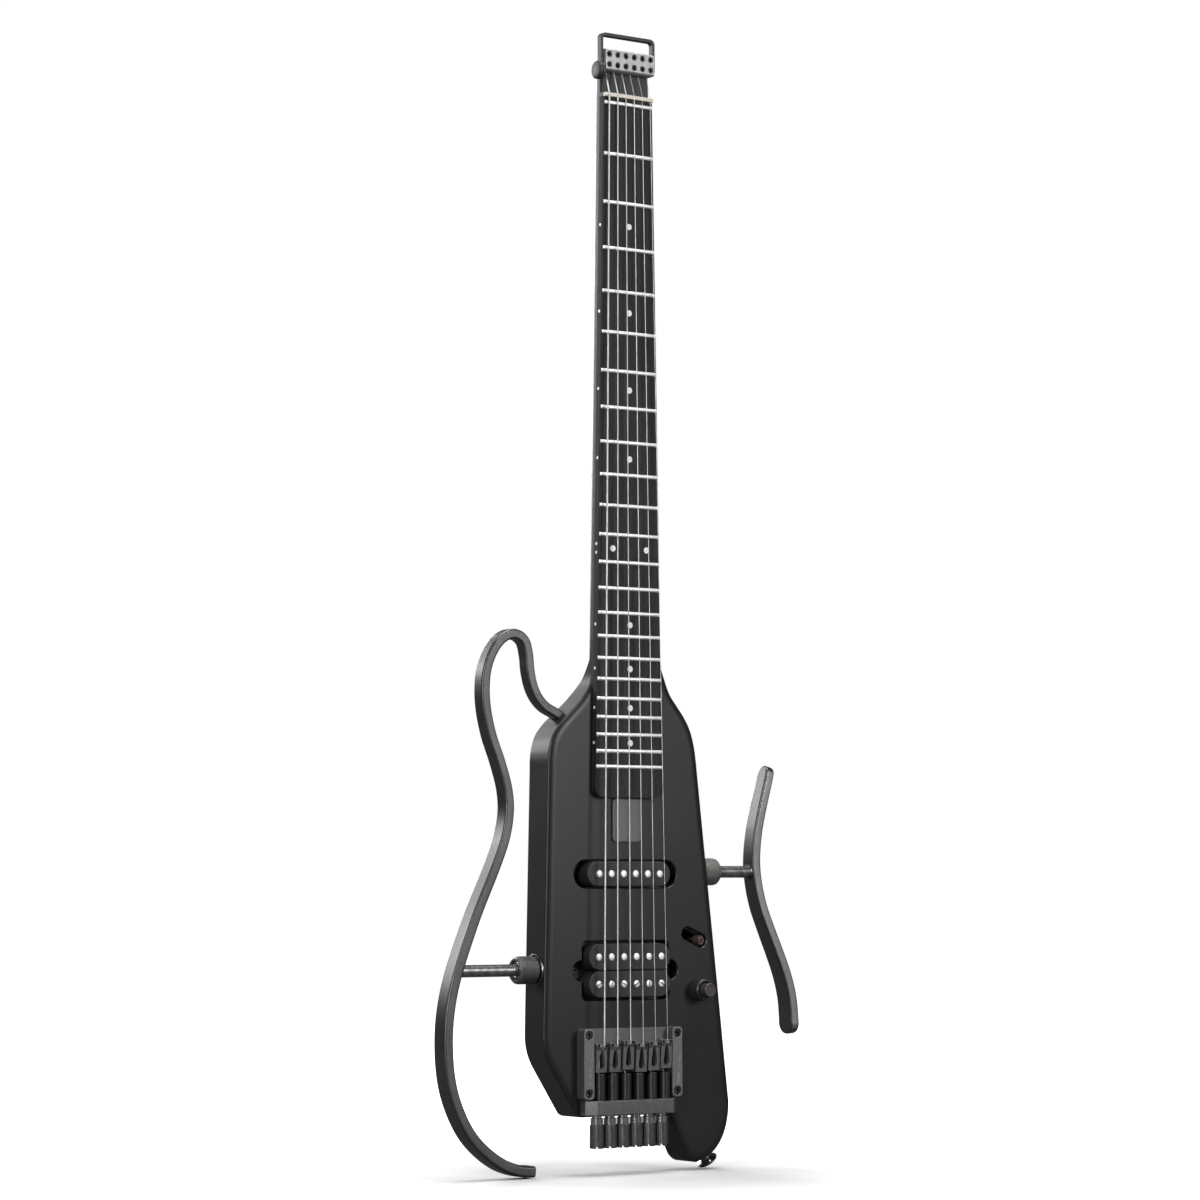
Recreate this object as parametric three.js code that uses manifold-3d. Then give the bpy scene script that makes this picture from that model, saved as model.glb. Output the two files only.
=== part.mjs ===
// Travel guitar: headless neck, narrow body, tuners behind the bridge, and two bar frames
// that plug into the sides of the body as its waist and its leg rest.
// X runs to the treble side, Y from the front to the back, Z up the neck. Millimetres.
// Pieces on the neck are laid out from the crown of the zero fret, pieces on the body from the
// body's upper end. The whole is then moved so that the hanging loop's underside is the origin.

import * as THREE from 'three';
import { mergeVertices } from 'three/addons/utils/BufferGeometryUtils.js';
import Module from 'manifold-3d';

const wasm = await Module();
wasm.setup();

// Clearances and fineness
const seatGap = 0.3; // left between two pieces that touch
const overrun = 2; // how far a cutting solid runs past what it cuts
const arcSteps = 4; // segments in a quarter turn of a large round
const roundSides = 20;
const smallSides = 8;

// Scale, fretboard and frets
const scaleLength = 648;
const fretCount = 22;
const stringCount = 6;
const boardRadius = 350; // camber of the playing surface
const boardThick = 6;
const boardHalfAtZero = 20.9;
const boardHalfAtEnd = 29;
const boardOverhang = 21.24; // of the board past its last fret
const boardCorner = 6;
const boardTopEnd = 4;
const fretHeight = 1.1;
const fretWidth = 2.5;
const fretInset = 0.8;
const fretTang = 0.6;
const fretCrownShares = [[-0.5, 0], [-0.26, 1], [0.26, 1], [0.5, 0]];
const bodyFace = fretHeight + boardThick; // the board lies on this plane

// Nut, neck and truss rod
const nutThick = 2.8;
const nutInset = 0.3;
const nutBack = 3; // behind the fret crown, where the nut stands on a ledge
const neckDepthAtNut = 14.5;
const neckDepthAtBody = 15.2;
const neckFullness = 2.4; // roundness of the back: 2 is an ellipse
const neckTop = 38;
const headHalf = 20;
const shelfFace = 6.5; // the head's shelf under the clamp, behind the fret crown
const tenonHalf = 19.5;
const tenonDepth = 8.8;
const tenonShort = 19.4; // the tenon ends this far above the board's end
const rodRadius = 2.8;
const rodTop = 10;
const trussShort = 16; // the truss rod ends this far above the body
const rodSlotHalf = 3.2;
const rodSlotDepth = 6.4;

// Body outline
const bodyThick = 26.4;
const bodyScaleLength = 270; // the part of the scale that lies over the body
const bodyPastBar = 1.6; // of the body's foot below the cross bar
const shoulderEnd = 83; // down from the body's upper end
const bassShoulder = 63.9;
const bassHalf = 68.2;
const bassCornerTall = 44;
const bassCornerRound = 12;
const bassFoot = 39.7;
const footRound = 4;
const trebleShoulder = 62.4;
const trebleHalf = 89.9;
const trebleCornerTall = 41.5;
const hornLong = 34.5;
const hornTip = 62;
const hornInner = 52.5;
const hornInnerTall = 5.5;
const hornRoot = 39.5;
const hornRootDrop = 3;
const hornRootRound = 4;
const bassShoulderShares = [
  [0.01, 0.18], [0.04, 0.366], [0.226, 0.493], [0.485, 0.606], [0.747, 0.72], [0.907, 0.82],
  [0.975, 0.92],
];
const trebleShoulderShares = [
  [0.03, 0.1], [0.153, 0.233], [0.349, 0.434], [0.528, 0.534], [0.713, 0.634], [0.86, 0.745],
  [0.955, 0.88],
];
const trebleCornerShares = [[0.64, 0.904], [1.007, 0.53]]; // of the corner's width and height
const edgeRound = 3;
const edgeSteps = 2;
const backRampEnd = 102;
const backRampShares = [
  [0, 0.05], [0.137, 0.167], [0.261, 0.466], [0.333, 0.663], [0.451, 0.8], [0.627, 0.913], [1, 1],
];
const heelEnd = 56;
const heelShares = [[0, 0], [0.3, 0.08], [0.62, 0.4], [1, 1]]; // along the heel, and of its extra depth
const heelDepth = 19.6;
const shoulderLine = 5.3; // the bass shoulder's slope: how far down it starts on the middle line

// Head clamp, hanging loop and the strap button on it
const clampHalf = 20.9;
const clampFront = 1; // in front of the fret crown
const clampLow = 22.6;
const clampTall = 15.3;
const clampEdge = 1;
const clampPitch = 7.1;
const clampRowGap = 7.4;
const clampScrew = 2.2;
const clampScrewDrop = 0.5;
const hexSocket = 1.3;
const hexDepth = 2;
const stringBore = 1;
const clampBoreDepth = 4.6; // behind the fret crown
const boreLength = 12;
const loopOuter = 23.2;
const loopThick = 2;
const loopTopThick = 2.5;
const loopTop = 49.7;
const loopCorner = 4;
const loopDepth = 5;
const loopFront = 1.6; // behind the fret crown
const loopFoot = 26;
const eyeRadius = 6.3;
const eyeHigh = 22.6;
const headButtonReach = 3.2;
const headButtonPin = 1.8;

// Strings, heaviest first
const stringRadii = [0.6, 0.48, 0.36, 0.26, 0.21, 0.18];
const stringSides = 6;
const nutPitch = 7.09;
const stringPitch = 10.7; // at the saddles
const stringRise = 5; // of the outer strings over the fret crown at the saddles
const saddleArch = 350;
const stringInClamp = 10;

// Bridge
const bridgePitch = 10.9;
const bridgeHalf = 41.5;
const bridgeInset = 1.8; // of its upper end over the end of the scale
const railLong = 48.4;
const railWide = 8.5;
const railRise = 9.5; // over the body's face
const railCorner = 3;
const railScrew = 3;
const railScrewInset = 4.4;
const railScrewDrop = 0.8;
const plateThick = 2;
const windowInset = 30.7; // of the opening under the carriages, below the bridge's upper end
const saddleLong = 20;
const saddleWide = 9.3;
const saddleInset = 10.1; // of the heaviest string's saddle, below the bridge's upper end
const saddleSetShares = [0, 0.01, 0.08, -0.015, 0.03, 0.08]; // up the neck, of the saddle's length
const saddleCrest = 2.2;
const saddleFoot = 1.6;
const saddleTailDrop = 0.8;
const saddlePlate = 2.9; // from the crest's level to the string's channel behind the tail
const saddleEndDrop = 1.2;
const tearRadius = 2.2;
const tearLong = 13;
const tearFromTail = 2.6;
const tearTip = 0.8;
const heightScrew = 1;
const heightScrewInset = 1.5;
const heightScrewDepth = 1.2;
const stringSlot = 1.1;

// Tuners behind the bridge
const tunerRise = 3.5; // of the tuners' axes over the body's face
const carriageRadius = 3.7;
const carriageLong = 19.4;
const carriageRise = 11.3; // of the carriage's front over the body's face
const carriageStringRise = 6.1;
const carriageStringBore = 1.3;
const carriageStringDepth = 5;
const stringInCarriage = 2.2;
const carriageScrewDepth = 7.5;
const carriageTravel = 3.5; // down the screw, into the cross bar's pocket
const barGap = 0.8; // between the rails and the cross bar
const barTall = 10;
const barHalf = 38.9;
const barFrontHalf = 32.1;
const barRise = 12.4; // over the body's face
const barShoulder = 6.1;
const tunerScrew = 1.9;
const tunerScrewReach = 3;
const tunerNeck = 3.4;
const tunerNeckLong = 6;
const tunerCollar = 4.4; // the neck is wider where it has passed the body's end
const tunerHead = 5;
const tunerHeadLong = 16.4;
const tunerRidges = 10;
const tunerRidge = 0.25;
const castleNotches = 3; // slots across the end of the head
const castleDepth = 1.3;
const castleHalf = 0.7;

// Pickups and plaque
const singleShare = 0.3331; // from the board to the bridge, at the cover's middle
const singleHalf = 35.3;
const singleTall = 17.6;
const singleRise = 4.6;
const singleDeep = 10.8;
const singleEar = 41.5;
const singleEarTall = 11;
const singleEarThick = 1.6;
const singleCavityHalf = 43.6;
const singleCavityTall = 19.6;
const singlePolePitch = 10.25;
const poleRadius = 2.5;
const singlePoleRise = 1;
const humShare = 0.7519; // from the board to the bridge, between the two coils
const bobbinHalf = 34.5;
const bobbinTall = 18.3;
const bobbinGap = 0.4;
const humRise = 5.4;
const humDeep = 7.6;
const humPolePitch = 10.6;
const humPoleRise = 0.6;
const screwSlotHalf = 0.45;
const humPlateThick = 1.5;
const humEar = 42.5;
const humEarTall = 11;
const humCavityHalf = 36.9;
const humCavityTall = 41;
const humCavityCorner = 4;
const lobeRadius = 7;
const lobeReach = 37.6;
const earScrewInset = 4;
const earScrewHead = 2.6;
const earScrewTall = 1.4;
const plaqueHalf = 11.9;
const plaqueGap = 0.6; // below the board
const plaqueTall = 30;
const plaqueThick = 1.6;
const plaqueCorner = 3;

// Controls
const slotInset = 17.62; // in from the treble side
const slotAboveBridge = 61.6;
const slotLong = 22;
const slotTall = 9.4;
const slotTilt = 22.7; // degrees under the horizontal, towards the treble side
const leverRadius = 3.5;
const leverCapLong = 5.4;
const leverDome = 0.8;
const leverRise = 1.4; // of the cap over the body's face in mid swing
const leverSwing = 20; // degrees either way from mid slot
const leverStem = 1.1;
const leverPivotDeep = 17;
const leverPivotRadius = 1.6;
const leverPivotHalf = 3.2;
const switchHalf = 10;
const switchCheek = 1.5;
const switchBase = 5;
const knobInset = 19.43; // in from the treble side
const knobAboveBridge = 25;
const knobRadius = 7.7;
const knobTall = 10;
const knobWell = 5.7;
const knobWellDeep = 5;
const knobRidges = 14;
const knobRidge = 0.3;
const knobRim = 0.8;
const stemRadius = 4.8;
const stemRise = 5.8; // of the inner knob over the outer one
const stemEdge = 0.5;
const sleeveRadius = 4.4;
const shaftRadius = 3;
const potRadius = 8;
const potTall = 9;
const potCollar = 6.2;
const potCollarTall = 3;
const cavityWood = 4; // left in front of the control cavity
const cavityAboveSlot = 14.6;
const cavityBelowKnob = 18.8;
const cavityReach = 12.5; // in from the selector's middle
const cavityWallTop = 4.94; // wood between the cavity and the treble side, at its upper end
const cavityWallFoot = 6; // and at its lower end
const coverLip = 3.4;
const coverThick = 2;
const coverScrew = 2;
const coverScrewDrop = 0.5;
const coverScrewInset = 1.9;

// Rods, collars and bushings that carry the frames
const rodRound = 4.2;
const socketDeep = 20;
const bassRodAboveBridge = 40.2;
const trebleRodAboveBridge = 107.5;
const rodShort = 1; // the rod ends this far before the bar's middle line
const bushingFlange = 11;
const bushingFlangeThick = 1.2;
const bushingNeck = 6;
const bushingNeckLong = 9;
const collarRadius = 9.6;
const collarLong = 15.2;
const collarRidges = 14;
const collarRidge = 0.4;
const collarRim = 1.2;

// Waist frame on the bass side and leg rest on the treble side
const waistRise = 2.1; // above the body's upper end
const waistTall = 366.6;
const waistReach = 141.2;
const waistShares = [
  [0.312, 0.156], [0.368, 0.145], [0.426, 0.134], [0.469, 0.118], [0.499, 0.097], [0.519, 0.067],
  [0.528, 0.037], [0.547, 0.013], [0.583, 0.002], [0.627, 0], [0.676, 0.008], [0.729, 0.03],
  [0.769, 0.064], [0.782, 0.101], [0.775, 0.142], [0.744, 0.191], [0.694, 0.24], [0.654, 0.29],
  [0.645, 0.33], [0.667, 0.379], [0.719, 0.43], [0.852, 0.54], [0.973, 0.67], [0.999, 0.764],
  [0.966, 0.854], [0.86, 0.932], [0.705, 0.981], [0.581, 0.998], [0.504, 1],
];
const waistThickAtRoot = 6.8;
const waistThickAtFoot = 7.8;
const waistDeepAtRoot = 9.4;
const waistDeepAtFoot = 16;
const restAboveRod = 75.4; // its upper end above its rod
const restTall = 191.3;
const restReach = 153.2;
const restShares = [
  [0.878, 0], [0.856, 0.064], [0.824, 0.153], [0.796, 0.245], [0.782, 0.349], [0.79, 0.429],
  [0.818, 0.52], [0.864, 0.609], [0.914, 0.697], [0.959, 0.785], [0.987, 0.871], [1, 1],
];
const restThick = 7.4;
const restDeepAtTop = 11.4;
const restDeepAtFoot = 16.2;
const barFineness = 1.5; // rings for each point of a bar's path
const barCornerShare = 0.34; // of the bar's thickness
const sectionSteps = 2; // segments in each corner of the bar's section
const noseShares = [0.15, 0.5]; // of the quarter turn round an end
const noseRound = 3;
const footNoseRound = 1.2;
const pegRadius = 2.6;
const pegTip = 36; // inner end of the peg, out from the middle line
const pegRoot = 52;
const pegAboveRoot = 2.7; // over the upper end of the bar's middle line

// Lower strap button and output jack
const buttonHead = 7.8;
const buttonHeadTall = 2.2;
const buttonWaist = 3.4;
const buttonFoot = 5;
const buttonTall = 8.5;
const buttonPin = 1.9;
const buttonPinLong = 10;
const buttonShare = 0.27; // along the treble corner, from the horn's tip
const jackAboveCorner = 17;
const jackInset = 3.54; // depth of the jack's recess
const jackPlateLong = 30;
const jackPlateWide = 17;
const jackPlateThick = 1.6;
const jackBarrel = 6.2;
const jackBarrelLong = 22;
const jackBore = 3.2;
const jackScrewGap = 22;
const jackScrew = 1.6;
const jackScrewDrop = 0.6;

// Places that follow from these sizes
const degrees = Math.PI / 180;
const fretDown = (n) => scaleLength * (1 - 2 ** (-n / 12));
const boardEnd = fretDown(fretCount) + boardOverhang;
const bodyTop = scaleLength - bodyScaleLength;

// Down from the body's upper end
const boardFoot = boardEnd - bodyTop;
const tenonFoot = boardFoot - tenonShort;
const bridgeTop = bodyScaleLength - bridgeInset;
const windowTop = bridgeTop + windowInset;
const saddleTop = bridgeTop + saddleInset;
const carriageTop = windowTop + seatGap;
const barTop = bridgeTop + railLong + barGap;
const bodyEnd = barTop + barTall + bodyPastBar;
const bassCornerDown = bodyEnd - bassCornerTall;
const hornEnd = bodyEnd + hornLong;
const hornInnerDown = hornEnd - hornInnerTall;
const hornRootDown = bodyEnd + hornRootDrop;
const trebleCornerDown = hornEnd - trebleCornerTall;
const singleMid = boardFoot + singleShare * (bridgeTop - boardFoot);
const humMid = boardFoot + humShare * (bridgeTop - boardFoot);
const plaqueTop = boardFoot + plaqueGap;
const slotDown = bridgeTop - slotAboveBridge;
const knobDown = bridgeTop - knobAboveBridge;
const cavityTop = slotDown - cavityAboveSlot;
const cavityFoot = knobDown + cavityBelowKnob;
const bassRodDown = bridgeTop - bassRodAboveBridge;
const trebleRodDown = bridgeTop - trebleRodAboveBridge;
const restTop = trebleRodDown - restAboveRod;
const pegDown = waistShares[0][1] * waistTall - waistRise - pegAboveRoot;
const jackDown = trebleCornerDown - jackAboveCorner;

// Behind the fret crown
const barMid = bodyFace + bodyThick / 2; // the frames lie in the middle of the body's thickness
const bodyBack = bodyFace + bodyThick;

// Out from the middle line: the straight sides of the body, and what is laid out from them
const sideAt = (shoulder, half, end, down) =>
  shoulder + ((half - shoulder) * (down - shoulderEnd)) / (end - shoulderEnd);
const trebleSideAt = (down) => sideAt(trebleShoulder, trebleHalf, trebleCornerDown, down);
const bassSideAt = (down) => sideAt(bassShoulder, bassHalf, bassCornerDown - bassCornerRound, down);
const slotAcross = trebleSideAt(slotDown) - slotInset;
const knobAcross = trebleSideAt(knobDown) - knobInset;
const cavityInner = slotAcross - cavityReach;
const cavityOuterTop = trebleSideAt(cavityTop) - cavityWallTop;
const cavityOuterFoot = trebleSideAt(cavityFoot) - cavityWallFoot;
const jackSeat = trebleSideAt(jackDown) - jackInset;

// The flat that a rod's bushing stands on is sunk until its whole flange bears on it
const flatAt = (sideOf, down) =>
  Math.min(sideOf(down - bushingFlange), sideOf(down + bushingFlange)) - seatGap / 2;
const bassWallAtRod = flatAt(bassSideAt, bassRodDown);
const trebleWallAtRod = flatAt(trebleSideAt, trebleRodDown);

const finish = (color, roughness, metalness) =>
  new THREE.MeshStandardMaterial({ color, roughness, metalness });

const satinBlack = finish(0x2b2b2d, 0.55, 0);
const boardBlack = finish(0x1d1c1c, 0.6, 0);
const nickel = finish(0xc9c9c6, 0.3, 1);
const gunmetal = finish(0x55565a, 0.42, 0.7);
const bridgeGrey = finish(0x5f5f62, 0.45, 0.6);
const clampGrey = finish(0x8b8b8e, 0.4, 0.7);
const boneCream = finish(0xd8d2bf, 0.5, 0);
const bobbinBlack = finish(0x232324, 0.6, 0);
const darkMetal = finish(0x38383b, 0.4, 0.6);
const plaqueGrey = finish(0x66676a, 0.45, 0.2);
const knobBrown = finish(0x3a3233, 0.5, 0.1);

// From a three.js geometry to a solid that can be joined and cut, and back
function solid(geometry) {
  const bare = geometry.clone();
  bare.deleteAttribute('normal');
  bare.deleteAttribute('uv');
  const merged = mergeVertices(bare, seatGap / 1000);
  const points = merged.attributes.position;
  const corner = (i) => new THREE.Vector3().fromBufferAttribute(points, i);
  const index = merged.index.array;
  const faces = [];
  let volume = 0;
  for (let f = 0; f < index.length; f += 3) {
    const [a, b, c] = [index[f], index[f + 1], index[f + 2]];
    if (a !== b && b !== c && c !== a) {
      faces.push(a, b, c);
      volume += corner(a).dot(corner(b).cross(corner(c)));
    }
  }
  if (volume < 0) faces.reverse();
  return new wasm.Manifold(new wasm.Mesh({
    numProp: 3,
    vertProperties: new Float32Array(points.array),
    triVerts: new Uint32Array(faces),
  }));
}

function geometryOf(body) {
  const data = body.getMesh();
  const geometry = new THREE.BufferGeometry();
  geometry.setAttribute('position', new THREE.BufferAttribute(new Float32Array(data.vertProperties), 3));
  geometry.setIndex(new THREE.BufferAttribute(new Uint32Array(data.triVerts), 1));
  geometry.computeVertexNormals();
  return geometry;
}

const joined = (parts) => parts.reduce((whole, part) => whole.add(part));
const cutBy = (whole, cuts) => cuts.reduce((rest, cut) => rest.subtract(cut), whole);

// A closed skin through rings of points that all have the same count
function loft(rings) {
  const count = rings[0].length;
  const faces = [];
  for (let r = 0; r + 1 < rings.length; r += 1) {
    for (let i = 0; i < count; i += 1) {
      const a = r * count + i;
      const b = r * count + ((i + 1) % count);
      faces.push(a, b, b + count, a, b + count, a + count);
    }
  }
  const last = (rings.length - 1) * count;
  for (let i = 1; i + 1 < count; i += 1) {
    faces.push(0, i + 1, i, last, last + i, last + i + 1);
  }
  const geometry = new THREE.BufferGeometry().setFromPoints(rings.flat());
  geometry.setIndex(faces);
  return solid(geometry);
}

function extruded(shape, depth, segments) {
  return new THREE.ExtrudeGeometry(shape, { depth, bevelEnabled: false, curveSegments: segments });
}

// An outline in X and Z, standing from one depth to another
function slab(shape, front, back, segments = arcSteps) {
  return solid(extruded(shape, back - front, segments).rotateX(Math.PI / 2).translate(0, back, 0));
}

// A profile in X and Y, standing from one height to another
function column(shape, low, high, segments = arcSteps) {
  return solid(extruded(shape, high - low, segments).translate(0, 0, low));
}

// A profile in Y and Z, running from one side to the other
function sideSlab(shape, from, to, segments = arcSteps) {
  const turn = new THREE.Matrix4().makeBasis(
    new THREE.Vector3(0, 1, 0),
    new THREE.Vector3(0, 0, 1),
    new THREE.Vector3(1, 0, 0),
  );
  return solid(extruded(shape, to - from, segments).applyMatrix4(turn).translate(from, 0, 0));
}

function box(x0, x1, y0, y1, z0, z1) {
  const geometry = new THREE.BoxGeometry(x1 - x0, y1 - y0, z1 - z0);
  return solid(geometry.translate((x0 + x1) / 2, (y0 + y1) / 2, (z0 + z1) / 2));
}

// Turned pieces: [radius, place along the axis] pairs, the first and the last on the axis
function turned(profile, sides) {
  return new THREE.LatheGeometry(profile.map(([r, along]) => new THREE.Vector2(r, along)), sides);
}

const rod = (radius, from, to, sides) =>
  turned([[0, from], [radius, from], [radius, to], [0, to]], sides);
const alongX = (geometry, y, z) => solid(geometry.rotateZ(-Math.PI / 2).translate(0, y, z));
const alongY = (geometry, x, z) => solid(geometry.translate(x, 0, z));
const downwards = (geometry, x, y) => solid(geometry.rotateX(-Math.PI / 2).translate(x, y, 0));

function polygon(points) {
  const shape = new THREE.Shape();
  points.forEach(([a, b], i) => (i === 0 ? shape.moveTo(a, b) : shape.lineTo(a, b)));
  return shape;
}

function roundedBox(x0, x1, z0, z1, r) {
  const shape = new THREE.Shape();
  shape.moveTo(x0 + r, z0);
  shape.absarc(x1 - r, z0 + r, r, -Math.PI / 2, 0, false);
  shape.absarc(x1 - r, z1 - r, r, 0, Math.PI / 2, false);
  shape.absarc(x0 + r, z1 - r, r, Math.PI / 2, Math.PI, false);
  shape.absarc(x0 + r, z0 + r, r, Math.PI, 1.5 * Math.PI, false);
  return shape;
}

// A long hole or a bar with round ends, lying across
const stadium = (half, tall, z) => roundedBox(-half, half, z - tall / 2, z + tall / 2, tall / 2);

function circlePoints(radius, count) {
  const turns = Array.from({ length: count }, (_, i) => (2 * Math.PI * i) / count);
  return turns.map((turn) => [radius * Math.cos(turn), radius * Math.sin(turn)]);
}

// A circle with shallow ridges, as on a knurled grip
function ridged(radius, ridge, count) {
  return polygon(circlePoints(1, 2 * count).map(([a, b], i) => {
    const r = radius - (i % 2) * ridge;
    return [r * a, r * b];
  }));
}

const hexagon = (radius) => polygon(circlePoints(radius, 6));
const camber = (x, radius) => radius - Math.sqrt(radius * radius - x * x);
const boardHalf = (down) => boardHalfAtZero + ((boardHalfAtEnd - boardHalfAtZero) * down) / boardEnd;
const spread = (index, pitch) => (index - (stringCount - 1) / 2) * pitch;
const eachString = (make) => Array.from({ length: stringCount }, (_, i) => make(i));

// The rounded back of the neck behind the plane of the body's face
function neckRing(half, deep, z) {
  const ring = [];
  const steps = 4 * arcSteps;
  for (let i = 0; i <= steps; i += 1) {
    const turn = (Math.PI * i) / steps;
    const across = Math.sign(Math.cos(turn)) * Math.abs(Math.cos(turn)) ** (2 / neckFullness);
    const back = Math.sin(turn) ** (2 / neckFullness);
    ring.push(new THREE.Vector3(-half * across, bodyFace + deep * (i === steps ? 0 : back), z));
  }
  return ring;
}

// Neck with its head shelf at the top and the tenon that the body holds
function neck() {
  const midDepth = (neckDepthAtNut + neckDepthAtBody) / 2;
  const shaft = loft([
    neckRing(headHalf, neckDepthAtNut, neckTop),
    neckRing(boardHalfAtZero, neckDepthAtNut, boardTopEnd),
    neckRing(boardHalf(bodyTop / 2), midDepth, -bodyTop / 2),
    neckRing(boardHalf(bodyTop), neckDepthAtBody, -bodyTop + seatGap),
  ]);
  const shelfLow = boardTopEnd + nutThick + seatGap;
  const shelf = polygon([
    [-headHalf, neckTop], [-boardHalfAtZero, shelfLow], [boardHalfAtZero, shelfLow], [headHalf, neckTop],
  ]);
  const ledge = box(
    -boardHalfAtZero, boardHalfAtZero, nutBack + seatGap, bodyFace + overrun,
    boardTopEnd + seatGap, shelfLow + seatGap,
  );
  const tenonDeep = bodyFace + tenonDepth;
  const tenon = box(-tenonHalf, tenonHalf, bodyFace, tenonDeep, -bodyTop - tenonFoot, -bodyTop + overrun);
  const slotDeep = bodyFace + rodSlotDepth;
  const slotFoot = -bodyTop + trussShort;
  const slot = box(-rodSlotHalf, rodSlotHalf, bodyFace - overrun, slotDeep, slotFoot, -rodTop);
  return cutBy(joined([shaft, slab(shelf, shelfFace, bodyFace + overrun), ledge, tenon]), [slot]);
}

function trussRod() {
  const deep = bodyFace + rodSlotDepth - rodRadius - seatGap;
  const foot = bodyTop - trussShort - seatGap;
  return downwards(rod(rodRadius, rodTop + seatGap, foot, smallSides), 0, deep);
}

// The camber in front and a flat behind, in X and Y
function archedProfile(half, face, back, steps) {
  const points = [[-half, back]];
  for (let i = 0; i <= steps; i += 1) {
    const x = -half + (2 * half * i) / steps;
    points.push([x, face + camber(x, boardRadius)]);
  }
  points.push([half, back]);
  return polygon(points);
}

function fret(down, half) {
  const rings = [];
  for (let i = 0; i <= arcSteps; i += 1) {
    const x = -half + (2 * half * i) / arcSteps;
    const face = fretHeight + camber(x, boardRadius);
    rings.push(fretCrownShares.map(([across, rise]) => {
      const y = face - rise * fretHeight + (rise === 0 ? fretTang : 0);
      return new THREE.Vector3(x, y, -down + across * fretWidth);
    }));
  }
  return loft(rings);
}

// Fretboard with the zero fret and the others set in it
function fretboard() {
  const plan = new THREE.Shape();
  plan.moveTo(-boardHalfAtZero, boardTopEnd);
  plan.lineTo(-boardHalfAtEnd, -boardEnd + boardCorner);
  plan.quadraticCurveTo(-boardHalfAtEnd, -boardEnd, -boardHalfAtEnd + boardCorner, -boardEnd);
  plan.lineTo(boardHalfAtEnd - boardCorner, -boardEnd);
  plan.quadraticCurveTo(boardHalfAtEnd, -boardEnd, boardHalfAtEnd, -boardEnd + boardCorner);
  plan.lineTo(boardHalfAtZero, boardTopEnd);
  const profile = archedProfile(boardHalfAtEnd + overrun, fretHeight, bodyFace, 2 * arcSteps);
  const bar = column(profile, -boardEnd - overrun, boardTopEnd + overrun);
  const board = bar.intersect(slab(plan, -overrun, bodyFace + overrun, arcSteps / 2));
  const frets = [];
  for (let n = 0; n <= fretCount; n += 1) {
    frets.push(fret(fretDown(n), boardHalf(fretDown(n)) - fretInset));
  }
  return joined([board, ...frets]);
}

function nut() {
  const profile = archedProfile(boardHalfAtZero - nutInset, 0, nutBack, arcSteps);
  return column(profile, boardTopEnd + seatGap, boardTopEnd + nutThick);
}

function shoulderPoints(side, halfAtEnd, shares) {
  const neckHalf = boardHalf(bodyTop);
  const points = shares.map(([out, along]) => new THREE.Vector2(
    side * (neckHalf + out * (halfAtEnd - neckHalf)),
    -along * shoulderEnd,
  ));
  const first = new THREE.Vector2(side * neckHalf, 0);
  const last = new THREE.Vector2(side * halfAtEnd, -shoulderEnd);
  return new THREE.SplineCurve([first, ...points, last]).getPoints(3 * arcSteps);
}

// The rounded treble corner, from the horn's tip up to the treble side
const [cornerLower, cornerUpper] = trebleCornerShares.map(([out, down]) => new THREE.Vector2(
  hornTip + out * (trebleHalf - hornTip),
  -trebleCornerDown - down * (hornEnd - trebleCornerDown),
));
const trebleCorner = new THREE.CubicBezierCurve(
  new THREE.Vector2(hornTip, -hornEnd),
  cornerLower,
  cornerUpper,
  new THREE.Vector2(trebleHalf, -trebleCornerDown),
);

// Front outline of the body, from the neck down the bass side and up the treble side
function bodyOutline() {
  const shape = new THREE.Shape(shoulderPoints(-1, bassShoulder, bassShoulderShares));
  const slope = (bodyEnd - bassCornerDown) / (bassHalf - bassFoot);
  const cornerIn = bassCornerRound / Math.hypot(1, slope);
  const cornerLow = -bassCornerDown - slope * cornerIn;
  shape.lineTo(-bassHalf, -bassCornerDown + bassCornerRound);
  shape.quadraticCurveTo(-bassHalf, -bassCornerDown, -bassHalf + cornerIn, cornerLow);
  const footIn = footRound / Math.hypot(1, slope);
  shape.lineTo(-bassFoot - footIn, -bodyEnd + slope * footIn);
  shape.quadraticCurveTo(-bassFoot, -bodyEnd, -bassFoot + footRound, -bodyEnd);
  shape.lineTo(hornRoot - hornRootRound, -bodyEnd);
  shape.quadraticCurveTo(hornRoot - hornRootRound / 2, -bodyEnd, hornRoot, -hornRootDown);
  shape.lineTo(hornInner, -hornInnerDown);
  shape.quadraticCurveTo(hornInner + footRound, -hornEnd, hornTip, -hornEnd);
  const treble = shoulderPoints(1, trebleShoulder, trebleShoulderShares).reverse();
  [...trebleCorner.getPoints(2 * arcSteps), ...treble].forEach((p) => shape.lineTo(p.x, p.y));
  return shape;
}

// How thick the body is behind its face, drawn from the side: it thins towards the neck
function backRamp() {
  const ramp = new THREE.SplineCurve(backRampShares.map(([along, deep]) => new THREE.Vector2(
    bodyFace + deep * bodyThick,
    -along * backRampEnd,
  ))).getPoints(2 * arcSteps);
  const points = ramp.map((p) => [p.x, p.y]);
  return polygon([
    [bodyFace - overrun, 0], ...points,
    [bodyBack + overrun, -backRampEnd], [bodyBack + overrun, -hornEnd - overrun],
    [bodyFace - overrun, -hornEnd - overrun],
  ]);
}

function heel() {
  return loft(heelShares.map(([along, deeper]) => {
    const down = along * heelEnd;
    const deep = neckDepthAtBody + deeper * (heelDepth - neckDepthAtBody);
    return neckRing(boardHalf(bodyTop + down), deep, -down);
  }));
}

// Cuts shared by the body and what goes in them
const slotTurn = slotTilt * degrees;
const onSlot = (geometry) => geometry.rotateY(slotTurn).translate(slotAcross, 0, -slotDown);
const singleFloor = bodyFace + singleDeep + seatGap;
const humFloor = bodyFace + humDeep + humPlateThick + 2 * seatGap;

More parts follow.
